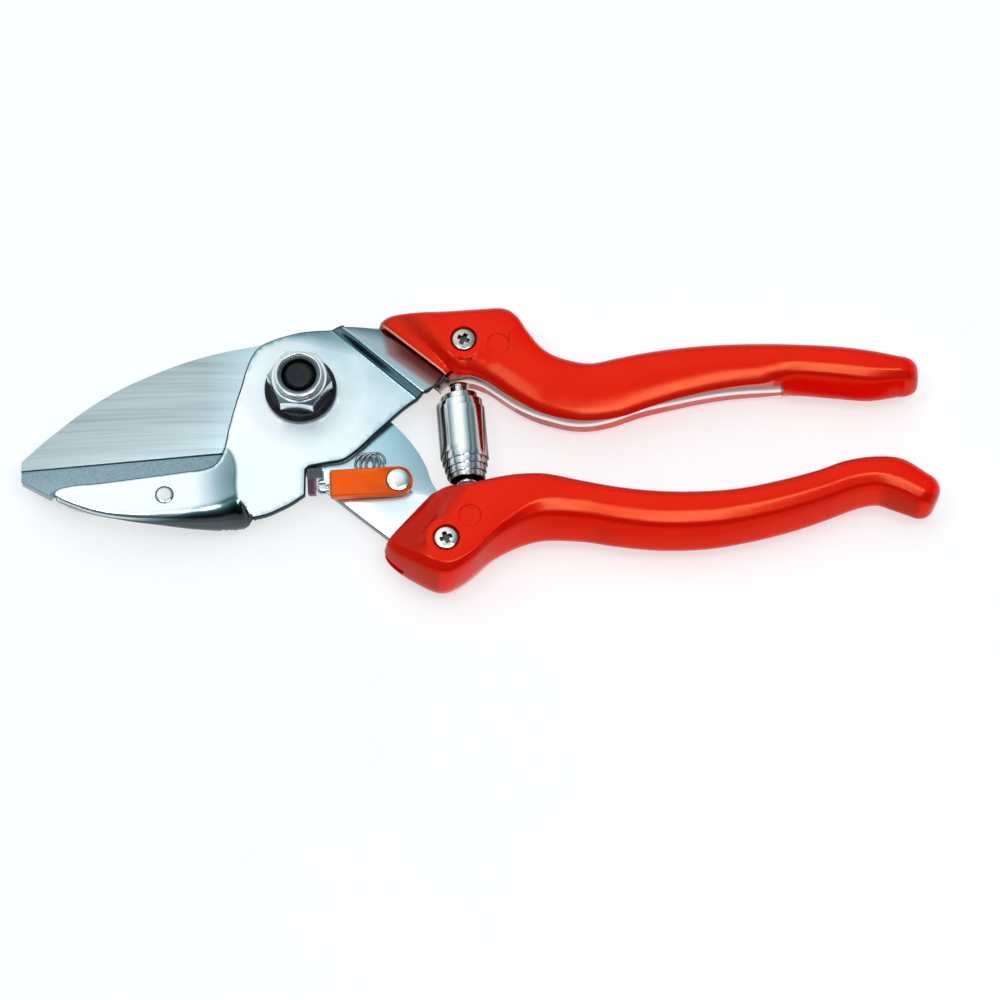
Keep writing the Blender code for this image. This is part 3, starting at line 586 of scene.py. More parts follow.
def make_frame(material, edge_material):
    """The pressed steel sheet: flat plate, raised and folded jaw, joggled flange and handle web."""
    far, web, near, jaw, crease = (
        smooth_path(knots, PATH_STEP, False)
        for knots in (FAR_EDGE, WEB_EDGE, NEAR_EDGE, JAW_EDGE, BULGE_EDGE))

    def jaw_radius(x):
        places, radii = (-54.0, -42.0, -34.0, -27.0, -20.0, -14.0), (1.0, 1.3, 2.2, 3.6, 5.2, 6.8)
        return np.interp(x, places, radii)

    def web_radius(x):
        return np.interp(x, (31.5, 36.0), (0.3, CURL_RADIUS))

    # The flat patch ends where the drawn-down edges have turned 60 degrees.
    part = 1 - math.sin(math.radians(60))
    web_line = moved_right(web, lambda x: web_radius(x) * part)
    jaw_line = moved_right(jaw, lambda x: jaw_radius(x) * part)
    far_line, near_line = (moved_right(path, lambda x: SHEET_RIM) for path in (far, near))
    loop = far_line + web_line + near_line[1:-1] + jaw_line

    def bulge_distance(points):
        """Distance to the crease, positive on the jaw's side."""
        knots = sorted(crease, key=lambda point: point[1])
        at = np.interp(points[:, 1], [k[1] for k in knots], [k[0] for k in knots])
        return np.where(points[:, 0] < at, 1, -1) * distance_to(points, crease)

    def dense(points):
        near_joggle = np.abs(past(points, JOGGLE) - 1.0) < 3.2
        near_jaw = (points[:, 1] < -12) & (points[:, 0] < -9.5)
        near_web = (points[:, 0] > 29) & (distance_to(points, web) < 4.8)
        return near_joggle | near_jaw | near_web

    def rounded_off(distance, radius):
        """How far a surface has dropped at a distance from the edge that it turns down to."""
        depth = np.clip(radius - distance, 0, radius)
        return radius - np.sqrt(radius * radius - depth * depth)

    holes = [
        circle(ORIGIN, BOLT_BORE, 32), circle(JAW_RIVET, 2.12, 28), circle(UPPER_SCREW, 1.8, 20)
    ]
    points, triangles, loop_vertices = flat_patch(loop, holes, GRID, dense)
    x, y = points[:, 0], points[:, 1]
    joggle = (CHANNEL_HIGH - PLATE_HIGH) * eased((past(points, JOGGLE) - 0.2) / 1.9)
    gap = bulge_distance(points)
    rise = (CHEEK_HIGH - PLATE_HIGH) * np.sin(np.clip(gap / 10.0, 0, 1) * math.pi / 2)
    fade = eased((-12.2 - y) / 2.6)
    jaw_fall = rounded_off(distance_to(points, jaw), jaw_radius(x)) * (y < -14)
    web_fall = rounded_off(distance_to(points, web), web_radius(x)) * (x > 29)
    z = PLATE_HIGH + joggle + (rise * fade - jaw_fall) * eased(gap / 0.9 + 0.35) - web_fall

    # The stamping is slightly crowned, and rolled off towards its far edge.
    far_gap = distance_to(points, far)
    z -= 0.60 * np.clip(1 - far_gap / 4.2, 0, 1) ** 2 * eased((x + 14.5) / 3.0) * (x < 45)
    z -= 0.32 * np.clip(1 - far_gap / 0.9, 0, 1) ** 2 * (x < -14.5)
    grip_gap = np.clip(past(points, GRIP_FRONT) + 5.5, 0, 8)
    z -= 0.9 * (grip_gap / 8) ** 2 * eased((past(points, JOGGLE) - 1.5) / 1.5)

    bm = bmesh.new()
    verts = [bm.verts.new(place) for place in zip(x, y, z)]
    for triangle in triangles:
        bm.faces.new([verts[i] for i in triangle])

    def fold(path, start, radius_at, degrees, rest, share_at):
        """Continue the sheet past one run of its loop: down over the edge, and on as rest says."""
        strips = []
        for i, index in enumerate(loop_vertices[start:start + len(path)]):
            top, edge, along = verts[index].co, Vector(path[i]), direction(path, i)
            inward = Vector((along.y, -along.x))
            radius = float(radius_at(edge.x))
            line = [tuple(top)] + quarter(edge, inward, radius, top.z + radius / 2, degrees)
            rest(line, edge, inward, i)
            short = cut_short(line, float(share_at(i)), len(line) - 1)
            strips.append([verts[index]] + [bm.verts.new(place) for place in short])
        skin(bm, strips, False)

    top_line = smooth_path(
        [(-12.6, -28.0), (-16.0, -18.0), (-18.8, -18.6), (-25.0, -20.4), (-34.0, -21.7),
         (-45.3, -23.3), (-52.6, -24.4), (-55.2, -25.6)], PATH_STEP, False)
    last = len(jaw) - 1

    def under_jaw(line, edge, inward, i):
        lean = inward * float(np.interp(edge.x, (-55, -45, -30), (1.6, 2.8, 3.6)))
        line += straight(line[-1], (*(edge + lean), CHEEK_LOW + FOLD_RADIUS), (0.35, 0.7, 1.0))
        line += quarter(edge + lean, inward, FOLD_RADIUS, CHEEK_LOW, (30, 60, 90), True)
        end = top_line[round(i / last * (len(top_line) - 1))]
        line += straight(line[-1], (*end, CHEEK_LOW), (0.2, 0.4, 0.6, 0.8, 1.0))

    def under_web(line, edge, inward, i):
        line += straight(line[-1], (*edge, CHANNEL_LOW + CURL_RADIUS), (0.33, 0.67, 1.0))
        turns = (12, 24, 36, 48, 60, 75, 90)
        line += quarter(edge, inward, CURL_RADIUS, CHANNEL_LOW, turns, True)
        end = edge + inward * (CURL_RADIUS + 2.0)
        line += straight(line[-1], (*end, CHANNEL_LOW), (0.5, 1.0))

    fold(jaw, len(loop) - len(jaw_line), jaw_radius, (72, 82, 90), under_jaw, lambda i: min(
        np.interp(i, (0, 12), (0.12, 1.0)), np.interp(last - i, (0, 9), (0.3, 1.0))))
    fold(web, len(far_line), web_radius, (70, 80, 90), under_web,
         lambda i: np.interp(len(web) - 1 - i, (0, 7), (0.1, 1.0)))

    def thickness(place):
        in_fold = place.y < -14 and place.x < -11 or place.x > 30
        return FOLDED_SHEET if in_fold else SHEET

    bmesh.ops.recalc_face_normals(bm, faces=bm.faces)
    if max(bm.faces, key=lambda face: face.calc_center_median().z).normal.z < 0:
        bmesh.ops.reverse_faces(bm, faces=bm.faces)
    thickened(bm, thickness, SHEET_RIM)
    sheet = new_object("frame_sheet", bm, material, 55)
    sheet.data.materials.append(edge_material)
    return sheet


# ---------------------------------------------------------------- blade and anvil
def make_blade(material):
    """Blade and tang from one plate, ground to an edge on its back and lightly on its front."""
    blade = prism("blade_plate", smooth_path(BLADE_OUTLINE, 0.7), BLADE_LOW, BLADE_HIGH, material)
    start, end = Vector((-70.0, -20.3)), Vector((-14.0, -14.8))
    along = (end - start).normalized()
    inward = Vector((-along.y, along.x))
    wedges = []
    for near, reach, edge_z, face_z, far_z in ((-0.4, 0.5, BLADE_HIGH - 0.45, BLADE_HIGH, 12.0),
                                               (-0.5, 6.5, BLADE_HIGH - 0.9, BLADE_LOW, 4.0)):
        section = [(near, edge_z), (reach, face_z), (reach, far_z), (near, far_z)]
        rows = [
            [(*(place + inward * offset), z) for offset, z in section] for place in (start, end)
        ]
        wedges.append(loft("wedge", rows))
    cut(blade, *wedges, cylinder(ORIGIN, 5.7, 0, 20))
    return bevelled(blade, 0.14, 2, 28, 40)


def make_anvil(material):
    """The cast strip. Its nose is undercut below the face that the blade closes on."""
    top = smooth_path(ANVIL_OUTLINE, 0.8)
    undercut = [
        (0.0, ANVIL_HIGH), (0.0, ANVIL_HIGH - 3.0), (0.5, ANVIL_HIGH - 4.6), (1.6, ANVIL_LOW)
    ]
    rows = [[(x, y, z) for x, y in moved_in(top, inset)] for inset, z in undercut]
    return bevelled(loft("anvil_strip", rows, material), 0.4, 3, 40, 50)


# ---------------------------------------------------------------- pivot
def make_pivot(black, bright, nylon_look):
    """Bolt, washers, lock nut and nylon ring."""
    bolt = hex_ring("bolt_head", HEX_ACROSS_FLATS, 0.0, 5.05, 0, (0, 1), HEX_TURN, ORIGIN, black)
    shank = turned("bolt_shank", [
        (0, 20.8, 0), (1.2, 20.82, 0), (2.6, 20.9, 0.2), (3.15, 20.6, 0.1), (3.3, 19.7),
        (4.0, 18.9), (4.0, 4.0), (0, 4.0, 0)], ORIGIN, black)
    washer = turned("cup_washer", [
        (BOLT_BORE, WASHER_HIGH - 0.5, 0), (BOLT_BORE, WASHER_HIGH), (7.15, WASHER_HIGH, 0.3),
        (8.35, WASHER_HIGH - 0.75, 0.35), (8.3, WASHER_LOW), (BOLT_BORE, WASHER_LOW),
        (BOLT_BORE, WASHER_HIGH - 0.5, 0)], ORIGIN, black)
    low, high = heights("back_washer")
    back = turned("flat_washer", [
        (BOLT_BORE, high - 0.2, 0), (BOLT_BORE, high), (8.05, high, 0.15), (8.05, low, 0.15),
        (BOLT_BORE, low), (BOLT_BORE, high - 0.2, 0)], ORIGIN, black)
    nut = hex_ring("nut_hexagon", HEX_ACROSS_FLATS, NUT_LOW, NUT_HIGH - 2.0, 4.3, (1, 1), HEX_TURN,
                   ORIGIN, bright)
    base = NUT_HIGH - 2.3
    collar = turned("nut_collar", [
        (NYLON_RADIUS - 0.35, NUT_HIGH - 0.5, 0), (NYLON_RADIUS - 0.25, NUT_HIGH, 0.2),
        (5.6, NUT_HIGH, 0.35), (5.85, base + 0.2, 0.3), (6.1, base - 0.3), (5.0, base - 0.5),
        (NYLON_RADIUS - 0.2, base), (NYLON_RADIUS - 0.35, NUT_HIGH - 0.5, 0)], ORIGIN, bright)
    nylon = turned("nylon_ring", [
        (4.02, NUT_HIGH - 1.3, 0), (4.02, NUT_HIGH - 0.65, 0.2),
        (NYLON_RADIUS - 0.3, NUT_HIGH - 0.2, 0.2), (NYLON_RADIUS - 0.3, base), (4.02, base),
        (4.02, NUT_HIGH - 1.3, 0)], ORIGIN, nylon_look)
    return {"pivot_bolt": joined(bolt, shank), "pivot_washer": washer, "back_washer": back,
            "pivot_nut": joined(nut, collar), "nut_insert": nylon}


def joined(first, *others):
    """Make one object of several that share a material."""
    bm = bmesh.new()
    for thing in (first, *others):
        bm.from_mesh(thing.data)
    bm.to_mesh(first.data)
    bm.free()
    for other in others:
        bpy.data.objects.remove(other, do_unlink=True)
    return first


# ---------------------------------------------------------------- grips
def through(values, share):
    """A smooth curve through a row of values, at a share counted in steps of the row."""
    i = min(int(share), len(values) - 2)
    rest = share - i
    row = [np.array(values[min(max(k, 0), len(values) - 1)]) for k in range(i - 1, i + 3)]
    first, second = (row[2] - row[0]) / 2, (row[3] - row[1]) / 2
    square, cube = rest * rest, rest ** 3
    return (row[1] * (2 * cube - 3 * square + 1) + first * (cube - 2 * square + rest)
            + row[2] * (3 * square - 2 * cube) + second * (cube - square))


def grip_section(rib, lipped, shrink=1.0, shift=(0.0, 0.0)):
    """The closed section of a grip at one rib, over its top and back below."""
    plain = float(eased((rib[0] - 106.0) / 9.0)) if lipped else 1.0
    near_slope = np.array(LIP_SLOPE) * (1 - plain) + np.array(ROUND_SLOPE) * plain
    far, near = Vector(rib[0:2]), Vector(rib[2:4])
    rise = (rib[4] - GRIP_HIGH / 2) * shrink
    centre, width = (far + near) / 2, (near - far).length
    along = (far - near) / width
    half = width / 2 * shrink
    over = [(-half + 2 * half * rib[5] * reach, height) for reach, height in near_slope]
    over += [(half - reach * shrink, height) for reach, height in reversed(FAR_SLOPE)]
    under = [(max(offset, offset * 0.9 - half * 0.1 + BACK_TUCK * (1 - plain)), height)
             for offset, height in over]
    section = []
    for sign in (1, -1):
        for offset, height in over if sign > 0 else under[-2:0:-1]:
            spot = centre + along * offset + Vector(shift)
            section.append((spot.x, spot.y, GRIP_HIGH / 2 + sign * rise * height))
    return section


def make_grip(name, ribs, lipped, screw, mark, end, material, painted_highlight_material=None):
    """A soft handle swept through its ribs, with a round end and seats for its screw and nut."""
    steps = 8
    rings = [grip_section(through(ribs, step / steps), lipped)
             for step in range((len(ribs) - 1) * steps + 1)]
    for turn in map(math.radians, range(8, 90, 8)):
        shift = (end[0] * math.sin(turn), end[1] * math.sin(turn))
        rings.append(grip_section(ribs[-1], lipped, math.cos(turn) ** 0.58, shift))
    shell = loft(name, rings, material, None)
    # The front steps of the upper grip take a pale pink material: a painted highlight along its
    # edge.
    if painted_highlight_material:
        shell.data.materials.append(painted_highlight_material)
        for face in shell.data.polygons[:PAINTED_HIGHLIGHT_STEPS * len(rings[0])]:
            face.material_index = int(face.center.z > 12.0 * MM)
    bevelled(shell, 0.35, 3, 55, 60)
    boss = turned("boss", [
        (0, GRIP_HIGH - 0.02, 0), (4.9, GRIP_HIGH - 0.02, 0.6), (6.2, 13.0), (0, 13.0, 0)],
        screw, None, 0.1, 48)
    cut(shell, boss, how="UNION")
    seat = turned("seat", [
        (0, 18, 0), (3.5, 18), (3.12, GRIP_HIGH, 0.2), (3.08, 14.6), (0, 14.6, 0)],
        screw, None, 0.1, 48)
    disc = turned("disc", [
        (0, 18, 0), (2.9, 18), (2.6, GRIP_HIGH - 0.02, 0.15), (2.45, GRIP_HIGH - 0.22, 0.1),
        (0, GRIP_HIGH - 0.22, 0)], mark, None, 0.05, 48)
    back = hex_ring("back_seat", 6.1, -1.0, 1.9, 0, (0, 0), 0, screw, None)
    return cut(shell, seat, disc, back, cylinder(screw, 1.8, -1, 18))


def make_screw(name, place, turn, material, recess):
    """Pan-head screw with a cross recess."""
    top = GRIP_HIGH
    screw = turned(name, [
        (0, top, 0), (1.6, top - 0.03, 0.3), (2.6, top - 0.22, 0.25), (2.88, top - 0.7, 0.2),
        (2.88, 14.9), (1.5, 14.9), (1.5, 0.5), (0, 0.5, 0)], place, material)
    arms = []
    for angle in (turn, turn + 90):
        bm = bmesh.new()
        bmesh.ops.create_cube(bm, size=1.0)
        for vertex in bm.verts:
            wide = 1.95 if vertex.co.z > 0 else 1.1
            vertex.co = (vertex.co.x * 2 * wide, vertex.co.y * 1.05, top + 0.2 + vertex.co.z * 3.2)
        bmesh.ops.rotate(bm, verts=bm.verts, matrix=Matrix.Rotation(math.radians(angle), 3, "Z"))
        bmesh.ops.translate(bm, verts=bm.verts, vec=(*place, 0))
        arms.append(new_object("arm", bm, recess))
    cut(screw, *arms, sharp=30)
    return bevelled(screw, 0.07, 2, 40, 45)


# ---------------------------------------------------------------- latch
def latch_point(along, across):
    """A point in the latch's own frame: along the lever from its rivet, and across it."""
    return aside(LATCH_PIVOT, LATCH_ANGLE, along, across)


def rounded_bar(length, half_width, nose=0.5, steps=20):
    """A bar along the lever, nearly square at its far end and round about the rivet."""
    loop = []
    for sign, first in ((1, 90), (-1, 0)):
        for step in range(4):
            angle = math.radians(first - 30 * step)
            along = length - nose + nose * math.cos(angle)
            loop.append(latch_point(along, sign * (half_width - nose) + nose * math.sin(angle)))
    for step in range(steps + 1):
        angle = math.radians(-90 - 180 * step / steps)
        loop.append(latch_point(half_width * math.cos(angle), half_width * math.sin(angle)))
    return loop


def make_latch(steel, plastic, rivet_look):
    """Lever with its tongue, moulded cover and domed rivet."""
    lever = prism("lever_bar", rounded_bar(15.9, 1.9), LEVER_LOW, LEVER_HIGH, steel)
    corners = ((18.4, 1.3), (20.4, 1.3), (20.8, 0.9), (20.8, -5.0), (17.3, -5.0), (17.3, -2.4),
               (18.4, -2.2))
    tongue_loop = [latch_point(*corner) for corner in corners]
    tongue = prism("tongue", tongue_loop, LEVER_LOW + 0.1, LEVER_HIGH - 0.3)
    grooves = [(0, 15.0), (1.45, 15.0), (1.45, 15.9), (1.1, 16.1), (1.1, 16.5), (1.5, 16.7),
               (1.6, 17.5), (1.5, 18.2), (1.1, 18.6), (0, 18.6)]
    neck = turned("neck", grooves[::-1], ORIGIN, None, 0, 40)
    middle_height = (LEVER_LOW + LEVER_HIGH) / 2 + 0.05
    neck.data.transform(
        Matrix.Translation(Vector((*LATCH_PIVOT, middle_height)) * MM)
        @ Matrix.Rotation(math.radians(LATCH_ANGLE), 4, "Z")
        @ Matrix.Diagonal((1, 1, 0.72, 1)) @ Matrix.Rotation(math.radians(90), 4, "Y"))
    cut(lever, tongue, neck, how="UNION")
    bevelled(lever, 0.15, 2, 40, 50)

    cover = prism("cover_shell", rounded_bar(15.7, 3.3, 0.7), COVER_LOW, COVER_HIGH, plastic)
    bevelled(cover, 0.55, 4, 60, 60)
    cut(cover, turned("hole", [
        (0, 18, 0), (3.6, 18), (3.0, COVER_HIGH + 0.02, 0.2), (2.75, COVER_HIGH - 0.3), (2.75, 5),
        (0, 5, 0)], LATCH_PIVOT, None, 0.1, 48))

    top, low = COVER_HIGH + 0.15, heights("latch_rivet")[0]
    dome = [(2.62 * share, top - 0.36 * share ** 2.6)
            for share in (0, 0.2, 0.4, 0.6, 0.75, 0.88, 0.97)]
    shank = rounded_profile([
        (2.66, top - 0.6, 0), (2.66, COVER_LOW + 0.4), (1.5, COVER_LOW), (1.5, low + 1.1),
        (2.2, low + 1.0, 0.2), (2.0, low, 0.3), (0, low, 0)], 0.1)[1:]
    rivet = turned("latch_dome", dome + shank, LATCH_PIVOT, rivet_look, 0)
    return {"latch_lever": lever, "latch_cover": cover, "latch_rivet": rivet}


def make_latch_spring(material):
    """Torsion spring beside the lever: its turns lean over each other, and it has a short leg."""
    across, up, drift, turns, steps = 1.9, 2.2, 1.2, 2.6, 30
    low = LEVER_LOW + 0.4
    points = []
    for step in range(round(turns * steps) + 1):
        angle = math.radians(200 - 360 * step / steps)
        part = step / steps
        x = LATCH_SPRING[0] - 1.25 + across * math.cos(angle) + drift * part
        y = LATCH_SPRING[1] + up * math.sin(angle)
        points.append((x, y, low + 0.30 * part + 0.3 * (1 + math.cos(angle))))
    start = Vector(points[0])
    leg = [tuple(start + Vector((0.34, -0.42, -0.03)) * k) for k in range(5, 0, -1)]
    return tube("torsion_wire", leg + points, 0.32, material, 12)


# ---------------------------------------------------------------- buffer spring
def make_buffer_spring(material):
    """Double volute: one strip wound so that its turns step inwards towards both ends."""
    top, bottom = (Vector((*place, MID_PLANE)) for place in (SPRING_TOP, SPRING_BOTTOM))
    length, lay = (bottom - top).length, (bottom - top).to_track_quat("Z", "Y")
    strip, steps, margin = 12.6, 40, 0.15
    bm = bmesh.new()
    rows = []
    for step in range(round(-2.0 * steps), round(4.2 * steps) + 1):
        turn = step / steps
        taper, rise, thinning = (1.12, 2.15, 0.35) if turn < 0 else (0.40, 1.75, 0.1)
        centre = 10.6 + rise * turn
        half = strip / 2 - thinning * abs(turn)
        low, high = max(centre - half, margin), min(centre + half, length - margin)
        x, y = aside(ORIGIN, 360 * turn + 200, 5.72 - taper * abs(turn), 0)
        rows.append([bm.verts.new((x, y, z)) for z in np.linspace(low, high, 9)])
    skin(bm, rows, False)
    bmesh.ops.recalc_face_normals(bm, faces=bm.faces)
    if max(bm.faces, key=lambda face: face.calc_center_median().x).normal.x < 0:
        bmesh.ops.reverse_faces(bm, faces=bm.faces)
    thickened(bm, lambda place: 0.42, 0.12)
    bmesh.ops.rotate(bm, verts=bm.verts, matrix=lay.to_matrix())
    bmesh.ops.translate(bm, verts=bm.verts, vec=top)
    return new_object("volute_strip", bm, material, 50), top * MM, bottom * MM


def make_seat(name, place, other, material):
    """The stepped peg that an end of the buffer spring sits on."""
    start = Vector((*place, MID_PLANE))
    lay = (Vector((*other, MID_PLANE)) - start).to_track_quat("Z", "Y")
    seat = turned(name, [
        (0, 5.0, 0), (1.7, 5.0, 0.4), (2.15, 4.2, 0.3), (2.15, -0.2), (2.3, -0.25), (2.3, -1.0),
        (0, -1.0, 0)], ORIGIN, material)
    seat.data.transform(Matrix.Translation(start * MM) @ lay.to_matrix().to_4x4())
    return seat


# ---------------------------------------------------------------- materials
def add_node(tree, kind, links=None, **settings):
    """Add a shader node. A socket in links is joined, and any other value is set."""
    made = tree.nodes.new(kind)
    for name, value in settings.items():
        setattr(made, name, value)
    for name, value in (links or {}).items():
        if isinstance(value, bpy.types.NodeSocket):
            tree.links.new(value, made.inputs[name])
        else:
            made.inputs[name].default_value = value
    return made


def new_look(name, base, roughness, metallic=0.0, others=None):
    """A Principled material, its node tree, and object coordinates in millimetres."""
    material = bpy.data.materials.new(name)
    material.use_nodes = True
    tree = material.node_tree
    inputs = {"Base Color": (*base, 1), "Roughness": roughness, "Metallic": metallic}
    for key, value in (inputs | (others or {})).items():
        tree.nodes["Principled BSDF"].inputs[key].default_value = value
    place = add_node(tree, "ShaderNodeTexCoord").outputs["Object"]
    scaled = add_node(tree, "ShaderNodeVectorMath", {0: place, "Scale": 1 / MM}, operation="SCALE")
    return material, tree, scaled.outputs["Vector"]


def finished(material, colour, roughness, *bumps):
    """Wire up a look's colour and roughness, and its bumps: each a height and a depth in mm."""
    tree = material.node_tree
    wired = {"Base Color": colour, "Roughness": roughness}
    for height, depth in bumps:
        links = {"Height": height, "Distance": depth * MM}
        if "Normal" in wired:
            links["Normal"] = wired["Normal"]
        wired["Normal"] = add_node(tree, "ShaderNodeBump", links).outputs["Normal"]
    for key, socket in wired.items():
        tree.links.new(socket, tree.nodes["Principled BSDF"].inputs[key])
    return material


def noise(tree, place, scale, detail=3.0, stretch=(1, 1, 1)):
    """Noise with its size in mm, which may be stretched."""
    mapped = add_node(tree, "ShaderNodeMapping", {"Vector": place, "Scale": stretch})
    links = {"Vector": mapped.outputs["Vector"], "Scale": 1 / scale, "Detail": detail}
    return add_node(tree, "ShaderNodeTexNoise", links).outputs["Fac"]


def ramp(tree, factor, stops):
    """Colour or grey steps over a factor."""
    made = add_node(tree, "ShaderNodeValToRGB", {"Fac": factor})
    elements = made.color_ramp.elements
    while len(elements) < len(stops):
        elements.new(0.5)
    for element, (position, colour) in zip(elements, stops):
        element.position = position
        element.color = (*(colour if isinstance(colour, tuple) else (colour,) * 3), 1)
    return made.outputs["Color"]


def span(tree, factor, low, high, from_low=0.3, from_high=0.7):
    """Map a factor to a range of values."""
    return add_node(tree, "ShaderNodeMapRange", {
        "Value": factor, "From Min": from_low, "From Max": from_high, "To Min": low,
        "To Max": high}).outputs["Result"]


def rising(tree, factor, low, high):
    """0 up to a low value of the factor, and 1 from a high one."""
    return span(tree, factor, 0.0, 1.0, low, high)


def falling(tree, factor, low, high):
    """1 up to a low value of the factor, and 0 from a high one."""
    return span(tree, factor, 1.0, 0.0, low, high)


def maths(tree, operation, *values):
    """The outcome of an operation on numbers and sockets."""
    return add_node(tree, "ShaderNodeMath", dict(enumerate(values)), operation=operation).outputs[0]


def axes(tree, vector):
    """The X, Y and Z of a vector."""
    return tuple(add_node(tree, "ShaderNodeSeparateXYZ", {"Vector": vector}).outputs)


def faces_up(tree, normal="Normal"):
    """How far a surface faces straight up or down."""
    geometry = add_node(tree, "ShaderNodeNewGeometry")
    return maths(tree, "ABSOLUTE", axes(tree, geometry.outputs[normal])[2])


def blended(tree, factor, *colours, blend="MIX"):
    """Two colours, the second over the first. Each is a colour or a socket."""
    first, second = ((*colour, 1) if isinstance(colour, tuple) else colour for colour in colours)
    links = {"Factor": factor, "A": first, "B": second}
    return add_node(
        tree, "ShaderNodeMix", links, data_type="RGBA", blend_type=blend).outputs["Result"]


def chromed_look():
    """Bright chrome over pressed steel: faint drawing marks, smudges and fine scratches,
    with painted reflections and painted shade in its colour.
    """
    material, tree, place = new_look("chromed_sheet", (0.80, 0.86, 0.88), 0.17, 1.0)
    x, y, z = axes(tree, place)

    def along(first, second):
        """X and Y added up with weights."""
        return maths(
            tree, "ADD", maths(tree, "MULTIPLY", x, first), maths(tree, "MULTIPLY", y, second))

    def over(colour, factor, low, high, above):
        """A colour, and another above it that comes in over a range of the factor."""
        return blended(tree, rising(tree, factor, low, high), colour, above)

    smudge = noise(tree, place, 9.0, 4.0)
    # Painted reflection: lighter to the left, bluer and darker to the right, broken up by the
    # smudges.
    lean = maths(tree, "ADD", along(1.0, 0.8), span(tree, smudge, -4.0, 4.0))
    tint = ramp(tree, rising(tree, lean, -20.0, 40.0), [
        (0.1, (0.88, 0.92, 0.93)), (0.45, (0.80, 0.87, 0.89)), (0.60, (0.62, 0.75, 0.79)),
        (0.74, (0.50, 0.62, 0.66))])
    # Painted shade: faces that lean away from straight up turn darker and bluer, less so on the jaw
    # to the left.
    lifted = span(tree, x, 0.5, 0.0, -42.0, -24.0)
    upright = maths(tree, "ADD", faces_up(tree), lifted)
    painted_lean_shade = blended(tree, falling(tree, upright, 0.955, 0.992), tint, (0.34, 0.56, 0.60))
    # Painted shade towards the far edge and on the flange, and painted shade with a painted red
    # reflection of the grip in front of the grip.
    shaded = over(painted_lean_shade, along(0.25, 1.0), 11.4, 14.6, (0.21, 0.34, 0.37))
    ahead = along(*GRIP_FRONT[2:])
    flange = over(shaded, ahead, 15.7, 17.2, (0.34, 0.44, 0.47))
    front = maths(tree, "ADD", ahead, span(tree, y, 0.0, -4.2, 8.0, 14.5))
    painted_grip_reflection = ramp(tree, rising(tree, front, 17.9, 22.9), [
        (0.0, (0.34, 0.40, 0.42)), (0.22, (0.30, 0.15, 0.15)), (0.55, (0.17, 0.04, 0.035)),
        (1.0, (0.09, 0.006, 0.005))])
    with_grip_reflection = over(flange, front, 17.7, 18.6, painted_grip_reflection)
    # Painted shade and reflections on steep faces: dark on the drawn jaw, teal on the joggle, and
    # painted bands of reflection, some red from the grip, on the web of the handle.
    web = ramp(tree, rising(tree, z, 2.0, 12.0), [
        (0.20, (0.30, 0.09, 0.07)), (0.27, (0.12, 0.06, 0.055)), (0.33, (0.92, 0.86, 0.84)),
        (0.52, (0.95, 0.91, 0.89)), (0.62, (0.34, 0.28, 0.26)), (0.9, (0.20, 0.15, 0.14))])
    painted_drawn_shade = over((0.085, 0.095, 0.10), x, -10.0, -4.0, (0.15, 0.27, 0.31))
    side = over(painted_drawn_shade, x, 29.0, 31.0, web)
    surface = blended(tree, falling(tree, upright, 0.76, 0.985), with_grip_reflection, side)
    # Painted shade where the jaw's fold ends against the plate.
    fold_end = add_node(
        tree, "ShaderNodeVectorMath", {0: place, 1: (-14.0, -29.0, 9.0)}, operation="DISTANCE")
    painted_fold_shade = falling(tree, fold_end.outputs["Value"], 2.2, 3.7)
    away = add_node(tree, "ShaderNodeVectorMath", {0: place}, operation="LENGTH").outputs["Value"]
    wear = span(tree, away, 0.24, 0.0, 16.5, 19.0)
    return finished(
        material, blended(tree, painted_fold_shade, surface, (0.06, 0.07, 0.075)),
        maths(tree, "ADD", span(tree, smudge, 0.12, 0.20), wear),
        (noise(tree, place, 6.0, 1.0), 0.01),
        (noise(tree, place, 0.5, 2.0, (0.04, 1.2, 1.0)), 0.0012))


def ground_look():
    """Blade steel ground in long, slightly arched strokes. The tang is left satin,
    with a painted reflection from white to blue, and steep faces carry painted shade.
    """
    material, tree, place = new_look("ground_blade", (0.55, 0.63, 0.65), 0.36, 1.0)
    x, y, _ = axes(tree, place)
    arch = maths(tree, "MULTIPLY", maths(tree, "POWER", maths(tree, "ADD", x, 30.0), 2.0), 0.0012)
    bent = maths(tree, "ADD", maths(tree, "ADD", y, arch), maths(tree, "MULTIPLY", x, -0.02))
    strokes = add_node(tree, "ShaderNodeCombineXYZ", {"X": x, "Y": bent}).outputs["Vector"]
    fine = noise(tree, strokes, 0.7, 3.0, (0.02, 1.0, 1.0))
    broad = noise(tree, strokes, 2.6, 2.0, (0.03, 1.0, 1.0))
    both = maths(tree, "MULTIPLY", maths(tree, "ADD", fine, broad), 0.5)
    on_blade = falling(tree, x, -22.0, -6.0)
    tint = ramp(tree, both, [
        (0.36, (0.39, 0.465, 0.485)), (0.5, (0.51, 0.59, 0.61)), (0.64, (0.56, 0.645, 0.66))])
    # Painted reflection on the satin tang: white on its near side, bluer towards its far side.
    lean = maths(tree, "ADD", y, span(tree, noise(tree, place, 7.0), -2.5, 2.5))
    tang = ramp(tree, rising(tree, lean, -36.0, -12.0), [
        (0.15, (0.98, 0.99, 1.0)), (0.55, (0.74, 0.86, 0.90)), (0.90, (0.62, 0.82, 0.89))])
    # Painted shade: steep faces, such as the bevels of the edge, turn near black.
    painted_bevel_shade = falling(tree, faces_up(tree, "True Normal"), 0.90, 0.95)
    colour = blended(tree, painted_bevel_shade, blended(tree, on_blade, tang, tint), (0.05, 0.08, 0.09))
    return finished(material, colour, span(tree, on_blade, 0.24, 0.40, 0.0, 1.0),
                    (maths(tree, "MULTIPLY", both, on_blade), 0.008))


